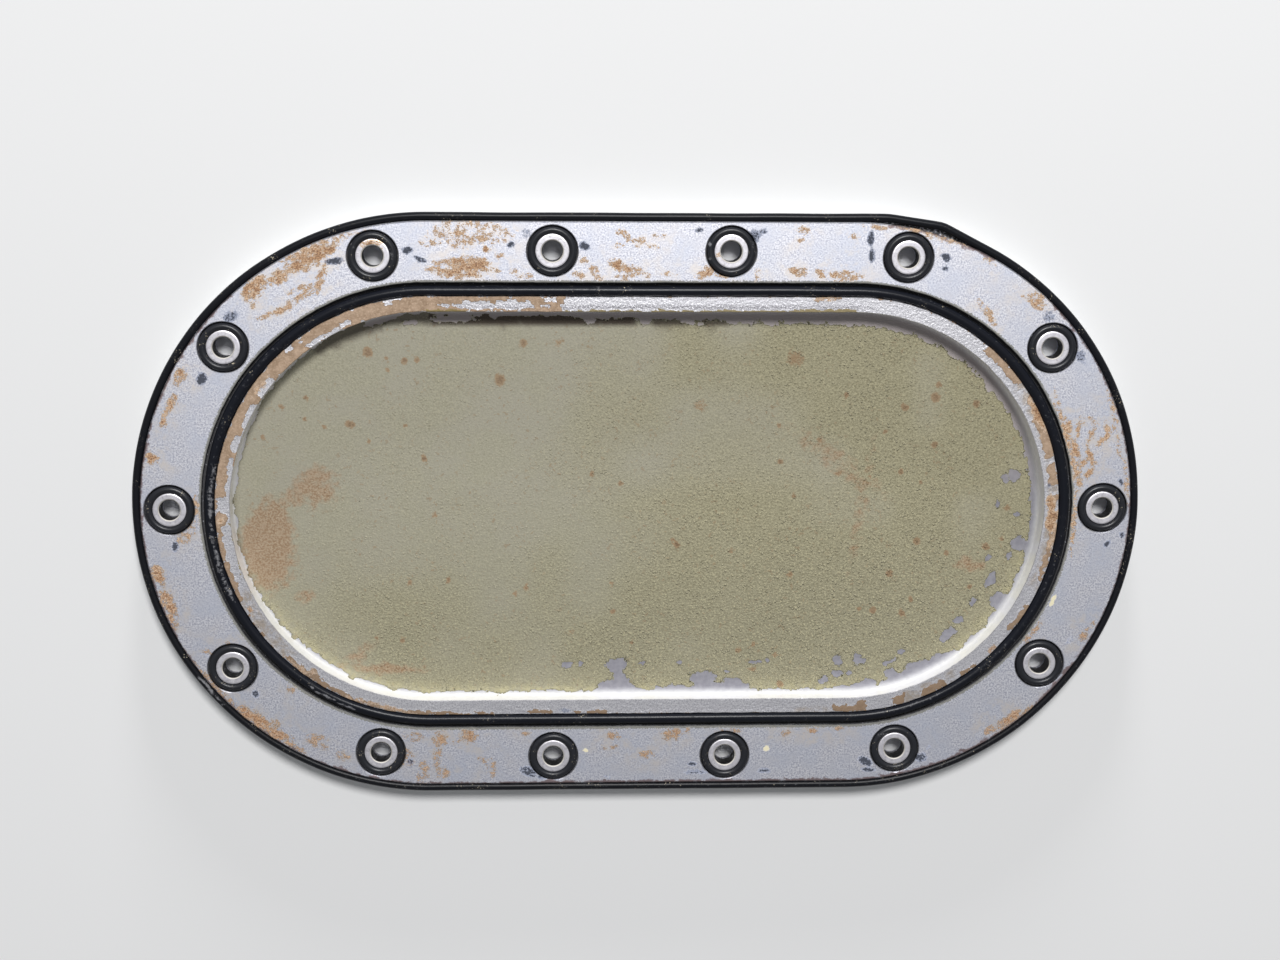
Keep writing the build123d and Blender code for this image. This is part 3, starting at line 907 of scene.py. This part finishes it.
# %% Paint the pan
along = runs(points, PAN)
coat_line = np.interp(along, *zip(*COAT_EDGE))
coat_line += (grain(points, 2.5, 1.0) - 0.5) * 0.9 + (grain(points, 0.9, 2.0) - 0.5) * 0.5
coat = np.clip((coat_line - out) / 0.8 + 0.5, 0, 1) * floor
coat = np.clip(coat - marks_at(points, CHIPS, PAN) * 1.2, 0, 1)
keep(plate, "coat", coat)
keep(plate, "pool", marks_at(points, POOL_ROWS, torn=0.2) * floor)
keep(plate, "shade", strips_at(points, SHADE, PAN) * floor)
crust = 0.25 + 0.55 * np.clip((x + 30) / 90, 0, 1) + 0.35 * np.clip((-y - 5) / 30, 0, 1)
keep(plate, "crust", np.clip(crust * (0.6 + 0.8 * grain(points, 12, 3.0)), 0, 1))
fringe_side = np.clip((out - 44.5) / 3.5, 0, 1) * np.clip((along - 190) / 30, 0, 1)
keep(plate, "fringe_side", fringe_side)
# how far up the pan's wall a corner is: the bare wall is painted near white there, partly as a painted
# highlight
keep(plate, "wall", np.clip((height - PAN_FLOOR - 0.15) / 1.35, 0, 1) * (out < PAN + 0.19))
print("corners with coating:", int((coat > 0.5).sum()))

# %% [markdown]
# ## Grime, painted shade and unevenness
#
# The grooves are painted black, partly old grease and partly painted shade in their recesses, and the
# ledge under the cord nearly so. The coating and the primer stand a few hundredths of a millimetre
# proud, and the broken rims wander a little, so that they glint.

# %% Grime and painted shade in the grooves
from_hole = np.min([np.hypot(x - hx / MM, y - hy / MM) for hx, hy in HOLES], axis=0)
sunk = height < TOP - 0.4
in_groove = (out > LIP - 0.05) & (out < GROOVE + 0.05) & sunk & top
in_ring = (from_hole < RING_GROOVE + 0.05) & sunk & (height > SEAT_FLOOR - 0.1)
on_ledge = (out > LAND - 0.05) & (out < LEDGE - 0.1) & sunk & top
# painted shade over old grease: full in the grooves and ring grooves, three quarters on the ledge under
# the cord
keep(plate, "grime_and_shade", np.where(in_groove | in_ring, 1.0, np.where(on_ledge, 0.75, 0.0)))
print("corners with grime:", int((in_groove | in_ring | on_ledge).sum()))

# %% Small unevenness of the plate
build = coat * (0.05 + 0.05 * grain(points, 5, 6.0) + 0.03 * grain(points, 1.3, 7.0))
lift = np.where(floor & (out < PAN - FOOT - 0.1), build, 0.0)
lift += np.where(on_lip, 0.05 * primer - 0.05, 0.0)
points[:, 2] += lift * MM
broken = (PAN + 0.1, LIP - 0.05, GROOVE + 0.1)
rims = top & np.any([np.abs(out - radius) < 0.12 for radius in broken], axis=0)
ragged = (grain(points, 1.4, 9.0) - 0.5) * 0.14
place_corners(plate, shift_outward(points, np.where(rims, ragged, 0.0)))
print("thickest coating, mm:", round(float(lift.max()), 3), "on", len(points), "corners")

# %% [markdown]
# ## Building materials from a few parts
#
# Every finish here is a Principled shader fed by the same few parts: a noise on Object coordinates for
# grain, an attribute for the painted wear, and a step that turns the two together into a torn edge.
# One small class, a kit for a material, keeps each of them short enough to read. Its sizes and depths
# are in millimetres.


# %% Parts for materials
class Kit:
    """Its methods add nodes and give back the socket that comes out."""

    def __init__(self, name):
        self.material = bpy.data.materials.new(name)
        self.material.use_nodes = True
        self.tree = self.material.node_tree
        self.shader = self.tree.nodes["Principled BSDF"]
        self.where = self.tree.nodes.new("ShaderNodeTexCoord").outputs["Object"]

    def feed(self, socket, value):
        """Links a socket to another one, or sets it to a number or a colour."""
        if isinstance(value, bpy.types.NodeSocket):
            self.tree.links.new(value, socket)
        else:
            socket.default_value = (*value, 1) if isinstance(value, tuple) else value

    def set(self, label, value):
        """Feeds a socket of the shader."""
        self.feed(self.shader.inputs[label], value)

    def node(self, kind, inputs, output=0, **settings):
        """Adds a node with its settings, feeds its inputs and gives back one output."""
        made = self.tree.nodes.new(kind)
        for label, value in settings.items():
            setattr(made, label, value)
        for label, value in inputs.items():
            self.feed(made.inputs[label], value)
        return made.outputs[output]

    def noise(self, size, detail=3.0, rough=0.55):
        """Noise over the object, with bumps of about one size."""
        inputs = {"Vector": self.where, "Scale": 1 / (size * MM), "Detail": detail, "Roughness": rough}
        return self.node("ShaderNodeTexNoise", inputs)

    def grains(self, size, core, reach):
        """Round grains about one size apart, 1 out to the core of each and 0 beyond its reach."""
        inputs = {"Vector": self.where, "Scale": 1 / (size * MM)}
        return self.step(self.node("ShaderNodeTexVoronoi", inputs, "Distance"), reach, core)

    def painted(self, label):
        """The amount painted on the mesh under a name."""
        return self.node("ShaderNodeAttribute", {}, "Fac", attribute_name=label)

    def calculate(self, kind, first, second=0.0):
        """A Math node."""
        return self.node("ShaderNodeMath", {0: first, 1: second}, operation=kind)

    def times(self, first, second):
        """The product of two values."""
        return self.calculate("MULTIPLY", first, second)

    def plus(self, first, second):
        """The sum of two values."""
        return self.calculate("ADD", first, second)

    def most(self, first, *others):
        """The largest of several values."""
        for other in others:
            first = self.calculate("MAXIMUM", first, other)
        return first

    def step(self, value, low, high, least=0.0, most=1.0):
        """A smooth step of a value from least at low to most at high."""
        inputs = {"Value": value, "From Min": low, "From Max": high, "To Min": least, "To Max": most}
        return self.node("ShaderNodeMapRange", inputs, interpolation_type="SMOOTHSTEP")

    def torn(self, amount, size, low, high, spread=0.7):
        """A painted amount cut off with a torn edge of a grain, and nothing where none is painted."""
        fray = self.times(self.plus(self.noise(size, 5.0, 0.65), -0.5), spread)
        return self.step(self.plus(amount, self.times(fray, self.step(amount, 0.0, 0.2))), low, high)

    def mix(self, factor, first, second):
        """A mix of two colours."""
        return self.node("ShaderNodeMix", {0: factor, 6: first, 7: second}, 2, data_type="RGBA")

    def over(self, base, amount, colour, share=1.0):
        """A colour laid over another where an amount says, up to a share."""
        return self.mix(amount if share == 1.0 else self.times(amount, share), base, colour)

    def relief(self, height, depth, under=None):
        """A bump of a depth, over another one if given."""
        inputs = {"Strength": 1.0, "Distance": depth * MM, "Height": height}
        if under is not None:
            inputs["Normal"] = under
        return self.node("ShaderNodeBump", inputs)

    def done(self):
        """Gives back the finished material."""
        print(self.material.name, "nodes:", len(self.tree.nodes))
        return self.material


# %% [markdown]
# ## Rust and grease
#
# Two kinds of dirt lie on more than one finish, so each is a helper. Rust is a cream wash with tan
# crumbs on it and a brown heart, and grease is a blue-grey smear with black specks.


# %% Rust and grease over a finish
def rust_over(kit, base, cover=1.0):
    """Rust stain where it is painted. Gives back the colour and how much of it is crumbs."""
    amount = kit.painted("rust")
    large = kit.step(kit.noise(1.4, 5.0, 0.65), 0.38, 0.62, -0.42, 0.36)
    small = kit.step(kit.noise(0.42, 3.0, 0.6), 0.36, 0.64, -0.30, 0.26)
    level = kit.plus(amount, kit.times(kit.plus(large, small), kit.step(amount, 0.0, 0.2)))
    grit = kit.noise(0.38, 3.0, 0.6)
    base = kit.over(base, kit.step(level, 0.10, 0.44, 0.0, 0.6 * cover), (0.90, 0.75, 0.61))
    outline = kit.times(kit.step(level, 0.44, 0.50), kit.step(level, 0.66, 0.56))
    base = kit.over(base, outline, (0.42, 0.24, 0.13), 0.55 * cover)
    crumbs = kit.step(level, 0.50, 0.60, 0.0, 0.85 * cover)
    tan = kit.mix(kit.step(grit, 0.40, 0.60), (0.39, 0.225, 0.11), (0.66, 0.475, 0.315))
    # painted shade: the tan crumbs darker towards the bottom
    tan = kit.over(tan, kit.step(kit.painted("low"), 0.3, 1.0, 0.0, 0.6), (0.36, 0.215, 0.12))
    base = kit.over(base, crumbs, tan)
    deep = kit.mix(kit.step(grit, 0.40, 0.58), (0.17, 0.08, 0.045), (0.44, 0.245, 0.12))
    return kit.over(base, kit.step(level, 0.86, 1.10, 0.0, 0.85 * cover), deep), crumbs


def scuff_over(kit, base):
    """Dark grease where it is painted. Gives back the colour and how much of it is smear."""
    amount = kit.painted("scuff")
    smear = kit.torn(amount, 0.8, 0.25, 0.60, 1.6)
    black = kit.torn(amount, 0.5, 0.62, 0.80, 2.2)
    base = kit.over(base, smear, (0.17, 0.20, 0.29), 0.75)
    return kit.over(base, black, (0.025, 0.03, 0.045), 0.9), smear


# %% [markdown]
# ## Etched aluminium
#
# The land was etched so that sealant would stick. Etching leaves a pale, bluish, finely speckled face
# that is neither a mirror nor quite dull, so the shader is metallic but rather rough. Stains, scuffs
# and flecks lie over it, each with its own colour, and make it dull where they lie.

# %% Etched aluminium
kit = Kit("etched_aluminium")
speckle = kit.noise(0.42, 2.0, 0.6)
cloud = kit.noise(6, 8.0, 0.7)
base = kit.mix(kit.step(speckle, 0.36, 0.62), (0.545, 0.555, 0.645), (0.905, 0.905, 0.955))
base = kit.over(base, kit.step(cloud, 0.42, 0.60, 0.0, 0.6), (0.66, 0.70, 0.82))
haze = kit.step(kit.noise(3.0, 6.0, 0.7), 0.42, 0.66)
warmth = kit.times(haze, kit.step(kit.painted("halo"), 0.0, 0.8, 0.2, 0.8))
base = kit.over(base, warmth, (0.85, 0.785, 0.74))
base = kit.over(base, kit.torn(kit.painted("edge_line"), 1.0, 0.40, 0.80, 1.4), (0.22, 0.13, 0.12), 0.8)
verge = kit.torn(kit.painted("verge"), 0.5, 0.40, 0.62, 2.0)
base = kit.over(base, verge, (0.10, 0.095, 0.06), 0.8)
base, stain = rust_over(kit, base)
base, smear = scuff_over(kit, base)
fleck = kit.torn(kit.painted("fleck"), 0.6, 0.35, 0.6)
base = kit.over(base, fleck, (0.74, 0.68, 0.48))
# painted shade over old grease in the grooves and on the ledge: nearly black
grime_and_shade = kit.step(kit.times(kit.painted("grime_and_shade"), kit.noise(0.6, 4.0)), 0.2, 0.4)
base = kit.over(base, grime_and_shade, (0.012, 0.011, 0.011), 0.95)
kit.set("Base Color", base)
covered = kit.most(stain, grime_and_shade, smear, verge, fleck)
kit.set("Metallic", kit.step(covered, 0.0, 1.0, 1.0, 0.0))
kit.set("Roughness", kit.step(covered, 0.0, 1.0, 0.495, 0.8))
pits = kit.relief(kit.noise(0.4, 4.0), 0.025)
kit.set("Normal", kit.relief(kit.times(stain, kit.noise(0.8, 4.0)), 0.25, pits))
etched = kit.done()

# %% [markdown]
# ## The worn lip
#
# The lip was primed in tan, and the primer has flaked away in long strips down to bare metal. A flake
# leaves a pale broken rim and a darker edge, so the mask is used three times: a little wider for the
# rim, once for the primer itself, and once for the edge where it is thin.

# %% Worn lip
kit = Kit("worn_lip")
speckle = kit.noise(0.36, 3.0, 0.7)
metal = kit.mix(kit.step(speckle, 0.36, 0.60), (0.62, 0.61, 0.66), (0.96, 0.95, 0.98))
# painted shade: darker speckle along the inner part of the lip on its upper run
metal = kit.over(metal, kit.times(kit.painted("inner"), kit.step(speckle, 0.66, 0.44)), (0.34, 0.33, 0.36))
metal = kit.over(metal, kit.step(kit.noise(5, 3.0), 0.5, 0.75, 0.0, 0.4), (0.72, 0.71, 0.76))
film = kit.times(kit.painted("tint"), kit.step(kit.noise(2.4, 5.0, 0.65), 0.38, 0.62))
metal = kit.over(metal, film, (0.62, 0.52, 0.42))
flaking = kit.painted("primer")
rim = kit.torn(flaking, 1.2, 0.37, 0.41, 1.9)
primed = kit.torn(flaking, 1.2, 0.41, 0.46, 1.9)
thin = kit.torn(flaking, 1.2, 0.62, 0.46, 1.9)
tone = kit.mix(kit.step(kit.noise(2.0, 5.0, 0.65), 0.35, 0.65), (0.345, 0.24, 0.16), (0.475, 0.345, 0.245))
tone = kit.over(tone, kit.step(kit.noise(0.5, 3.0), 0.52, 0.68, 0.0, 0.45), (0.62, 0.48, 0.35))
tone = kit.over(tone, thin, (0.24, 0.135, 0.07), 0.6)
# painted shade: the primer darker towards the bottom
tone = kit.over(tone, kit.step(kit.painted("low"), 0.3, 1.0, 0.0, 0.65), (0.25, 0.17, 0.11))
base = kit.over(metal, rim, (0.84, 0.83, 0.85))
base = kit.over(base, primed, tone)
brassy = kit.torn(kit.painted("olive"), 0.8, 0.42, 0.52, 1.6)
base = kit.over(base, brassy, (0.25, 0.19, 0.065), 0.9)
base, stain = rust_over(kit, base, 0.9)
base, smear = scuff_over(kit, base)
kit.set("Base Color", base)
covered = kit.most(rim, brassy, stain, smear)
kit.set("Metallic", kit.step(covered, 0.0, 1.0, 1.0, 0.5))
kit.set("Roughness", kit.step(covered, 0.0, 1.0, 0.42, 0.6))
kit.set("Normal", kit.relief(primed, 0.08, kit.relief(kit.noise(0.7, 4.0, 0.65), 0.09)))
worn = kit.done()

# %% [markdown]
# ## The coating in the pan
#
# The pan was painted with a thick olive coating that dried bumpy and has chipped along its lower side
# and its right end. It is first mixed as a colour of its own: paler and smoother at the left, yellower
# and crustier at the right, with seeds, dips and brown pepper in it. Painted highlight lies on the tops
# of the bumps and partly on the pale seeds, painted shade in the dips and towards the bottom.

# %% Olive coating
kit = Kit("pan_coating")
bumps = kit.noise(0.5, 4.0, 0.6)
cloud = kit.noise(14, 4.0, 0.6)
crusty = kit.painted("crust")
fringe_side = kit.painted("fringe_side")
olive = kit.mix(kit.step(bumps, 0.36, 0.64), (0.310, 0.292, 0.215), (0.362, 0.343, 0.258))
olive = kit.over(olive, kit.step(cloud, 0.35, 0.65, 0.0, 0.6), (0.345, 0.325, 0.262))
yellowed = kit.mix(kit.step(bumps, 0.36, 0.64), (0.298, 0.272, 0.172), (0.375, 0.345, 0.225))
olive = kit.over(olive, kit.step(crusty, 0.2, 0.8), yellowed)
# painted shade: the coating darker towards the bottom
olive = kit.over(olive, kit.step(kit.painted("low"), 0.0, 1.0, 0.0, 0.5), (0.25, 0.235, 0.165))
# painted highlight on the tops of the bumps where the coating is crusty
olive = kit.over(olive, kit.times(kit.step(bumps, 0.54, 0.64), crusty), (0.47, 0.43, 0.27), 0.8)
seeded = kit.times(kit.step(kit.noise(2.2, 3.0), 0.42, 0.58), crusty)
# the seeds are raised grains painted pale, partly as a painted highlight
seeds = kit.times(kit.grains(0.95, 0.16, 0.36), seeded)
olive = kit.over(olive, seeds, (0.50, 0.46, 0.32), 0.6)
# painted shade in the dips of the bumps where the coating is crusty
olive = kit.over(olive, kit.times(kit.step(bumps, 0.45, 0.35), crusty), (0.20, 0.175, 0.10), 0.6)
peppered = kit.most(kit.step(cloud, 0.35, 0.6), fringe_side)
pepper = kit.times(kit.step(kit.noise(1.0, 1.0), 0.64, 0.72), peppered)
olive = kit.over(olive, pepper, (0.25, 0.165, 0.09), 0.5)
lime = kit.times(fringe_side, kit.step(kit.noise(1.8, 4.0), 0.35, 0.65))
olive = kit.over(olive, lime, (0.40, 0.365, 0.21), 0.6)

# %% [markdown]
# ## Stains, chips and the bare pan
#
# Pools, the painted shadow under the upper rim and the rust spots lie on the coating. The mask for the
# coating is torn like the primer's, with a paler fringe. Below it the bare floor is grey, lighter and
# warmer towards the upper side as painted light in the rim's shadow, and the bare wall is near white,
# partly as a painted highlight.

# %% Stains on the coating and the metal under it
pool = kit.torn(kit.painted("pool"), 2.4, 0.15, 0.75, 1.8)
dots = kit.mix(kit.step(kit.noise(0.5, 3.0), 0.38, 0.60), (0.27, 0.15, 0.07), (0.39, 0.275, 0.18))
olive = kit.over(olive, pool, dots, 0.75)
# painted shadow under the upper rim
olive = kit.over(olive, kit.painted("shade"), (0.07, 0.052, 0.036))
spot = kit.torn(kit.painted("rust"), 0.6, 0.25, 0.65, 1.4)
heart = kit.torn(kit.painted("rust"), 0.5, 0.62, 0.95, 1.2)
olive = kit.over(olive, spot, kit.mix(heart, (0.31, 0.205, 0.115), (0.19, 0.11, 0.055)), 0.85)
fringe = kit.torn(kit.painted("coat"), 1.3, 0.34, 0.39, 2.3)
coated = kit.torn(kit.painted("coat"), 1.3, 0.42, 0.48, 2.3)
wall = kit.painted("wall")
mottle = kit.step(kit.noise(1.2, 4.0), 0.3, 0.7)
grey = kit.mix(mottle, (0.21, 0.205, 0.235), (0.265, 0.26, 0.29))
# painted light: the bare floor lighter and warmer towards the upper side, in the rim's shadow
grey = kit.over(grey, kit.painted("far"), (0.36, 0.32, 0.315))
# the bare wall near white, partly a painted highlight
bright = kit.mix(mottle, (0.90, 0.90, 0.92), (0.97, 0.97, 0.98))
base = kit.over(kit.mix(wall, grey, bright), fringe, (0.36, 0.34, 0.20))
kit.set("Base Color", kit.over(base, coated, olive))
bare = kit.times(wall, kit.step(fringe, 0.0, 1.0, 0.3, 0.0))
kit.set("Metallic", bare)
kit.set("Roughness", kit.step(bare, 0.0, 0.3, 0.7, 0.3))
bumpy = kit.times(kit.times(bumps, coated), kit.step(crusty, 0.0, 1.0, 0.2, 1.0))
bumpy = kit.plus(bumpy, kit.times(kit.times(seeds, coated), 0.7))
kit.set("Normal", kit.relief(coated, 0.08, kit.relief(bumpy, 0.45)))
pan = kit.done()

# %% [markdown]
# ## The outer skin
#
# The outer face would be painted like the wing round it. Nothing of it can be seen here, so it gets a
# plain pale grey paint with a little dirt, and no marks.

# %% Skin paint
kit = Kit("skin_paint")
tone = kit.mix(kit.step(kit.noise(22, 5.0, 0.6), 0.3, 0.7), (0.52, 0.54, 0.55), (0.58, 0.595, 0.60))
dirt = kit.step(kit.noise(1.5, 6.0, 0.7), 0.6, 0.78)
kit.set("Base Color", kit.over(tone, dirt, (0.30, 0.28, 0.25), 0.25))
kit.set("Roughness", 0.42)
kit.set("Normal", kit.relief(kit.noise(0.7, 2.0), 0.01))
skin = kit.done()

# %% [markdown]
# ## Rubber
#
# The seals are black rubber with a soft shine and a little pale dust. The same recipe makes all three,
# with a tone and a gloss of their own: the main seal is the glossiest and the small rings are greyest.


# %% Rubber
def rubber(name, tone, dust_tone, gloss, shine, grit):
    """Black rubber with patches of dust and grit where it is painted or where a noise passes a level."""
    kit = Kit(name)
    fine = kit.noise(0.5, 4.0, 0.65)
    wide = kit.noise(5, 3.0, 0.6)
    dust = kit.step(kit.plus(kit.times(fine, 0.6), kit.times(wide, 0.4)), 0.56, 0.74)
    base = kit.over(tone, dust, dust_tone, 0.6)
    specks = kit.times(kit.step(kit.noise(0.35, 0.0), 0.72, 0.76), kit.step(wide, grit, grit + 0.08))
    base = kit.over(base, specks, (0.42, 0.37, 0.28))
    laid = kit.torn(kit.painted("grit"), 0.8, 0.50, 1.0, 2.0)
    kit.set("Base Color", kit.over(base, laid, (0.38, 0.38, 0.40), 0.5))
    kit.set("Roughness", kit.step(kit.most(dust, laid), 0.0, 1.0, gloss, 0.8))
    kit.set("Specular IOR Level", shine)
    kit.set("Normal", kit.relief(fine, 0.02))
    return kit.done()


main_rubber = rubber("main_seal_rubber", (0.007, 0.008, 0.012), (0.06, 0.062, 0.07), 0.30, 0.20, 0.60)
cord_rubber = rubber("perimeter_rubber", (0.007, 0.0075, 0.010), (0.06, 0.06, 0.062), 0.34, 0.18, 0.56)
ring_rubber = rubber("screw_seal_rubber", (0.014, 0.015, 0.019), (0.08, 0.078, 0.078), 0.34, 0.36, 0.56)

# %% [markdown]
# ## Turned bush metal
#
# The bushes are turned, so their faint rings run round their own bore: the distance from the bore is
# stored on their corners, and a sine of it makes the rings. The same distance paints shade in the bore,
# nearly black, and a painted highlight on the chamfer, a warm pale tone that is not metallic.

# %% Turned bush metal
kit = Kit("turned_bush")
from_bore = kit.painted("turned")
chamfer = kit.step(from_bore, 2.78, 2.86)
base = kit.mix(kit.step(kit.noise(1.6, 4.0, 0.6), 0.35, 0.7), (0.76, 0.74, 0.79), (0.90, 0.88, 0.92))
base = kit.over(base, kit.step(kit.noise(0.7, 4.0, 0.65), 0.52, 0.68, 0.0, 0.5), (0.43, 0.40, 0.42))
base, _ = rust_over(kit, base)
# painted highlight: the chamfer a warm pale tone
base = kit.mix(chamfer, (0.62, 0.59, 0.54), base)
# painted shade: the bore nearly black
kit.set("Base Color", kit.mix(kit.step(from_bore, 2.585, 2.62), (0.02, 0.019, 0.019), base))
kit.set("Metallic", kit.step(from_bore, 2.78, 2.86, 0.1, 0.9))
kit.set("Roughness", kit.step(kit.noise(0.5, 3.0), 0.3, 0.7, 0.42, 0.50))
kit.set("Normal", kit.relief(kit.calculate("SINE", kit.times(from_bore, 42.0)), 0.002))
turned_metal = kit.done()

# %% [markdown]
# ## Dressing the plate
#
# The plate is one piece of metal with four finishes. Each face takes the finish of the region that its
# middle lies in. The imported plate is hidden, and this one is set to ride on the body in the shared
# frame.

# %% Dress the plate by region
plate.data.materials.clear()
for finish in (etched, worn, pan, skin):
    plate.data.materials.append(finish)
middles = read_rows(plate.data.polygons, "center")
out = outward(middles)[0] / MM
height = middles[:, 2] / MM
faces_down = read_rows(plate.data.polygons, "normal")[:, 2] < -0.5
region = np.zeros(len(middles), dtype=np.int32)
region[(height > TOP - 0.4) & (out > PAN - 0.1) & (out < LIP + 0.1)] = 1
region[(out < PAN + 0.19) & (height < TOP - 0.2) & (height > PAN_FLOOR - 0.2)] = 2
region[(height < SKIN_BREAK - 0.05) & (faces_down | (out > LEDGE - 0.9)) | (out > LEDGE - 0.1)] = 3
plate.data.polygons.foreach_set("material_index", region)
only(plate)
bpy.ops.object.shade_smooth_by_angle(angle=math.radians(30))
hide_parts("door_plate")
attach(plate, "root")
print("faces by finish:", np.bincount(region).tolist())

# %% [markdown]
# ## Dressing the seals and the bushes
#
# The two long seals get their dust and their rubber. The screw seal and the bush are copied to every
# hole, and each copy has its own mesh, so that each can carry its own grit and stains.


# %% Dress the seals and the bushes
def dress(obj, material, node, smooth):
    """Smooths a finished piece, gives it its material and its body, and hides the solid it stands for."""
    only(obj)
    bpy.ops.object.shade_smooth_by_angle(angle=math.radians(smooth))
    obj.data.materials.append(material)
    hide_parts(node)
    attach(obj, "root")


def repeat(shape, name, material, node):
    """Copies a turned piece to every hole, each with its own mesh, and dresses the copies."""
    corners = corners_of(shape)
    for number, (x, y) in enumerate(HOLES, start=1):
        piece = bpy.data.objects.new(f"{name}_{number:02d}", shape.data.copy())
        piece.data.name = piece.name
        bpy.context.collection.objects.link(piece)
        moved = corners + (x, y, 0.0)
        place_corners(piece, moved)
        keep(piece, "turned", np.hypot(corners[:, 0], corners[:, 1]) / MM)
        keep(piece, "rust", marks_at(moved, BUSH_STAINS))
        keep(piece, "grit", marks_at(moved, RING_GRIT))
        dress(piece, material, f"{node}_{number:02d}", 35)
    bpy.data.objects.remove(shape)
    print(name, "copies:", len(HOLES))


keep(main_seal, "grit", strips_at(corners_of(main_seal), SEAL_MARKS, LIP_LINE))
keep(perimeter, "grit", strips_at(corners_of(perimeter), CORD_MARKS, LIP_LINE))
dress(main_seal, main_rubber, "main_seal", 40)
dress(perimeter, cord_rubber, "perimeter_seal", 40)
repeat(screw_ring, "screw_ring", ring_rubber, "screw_seal")
repeat(sleeve, "bush", turned_metal, "screw_bush")
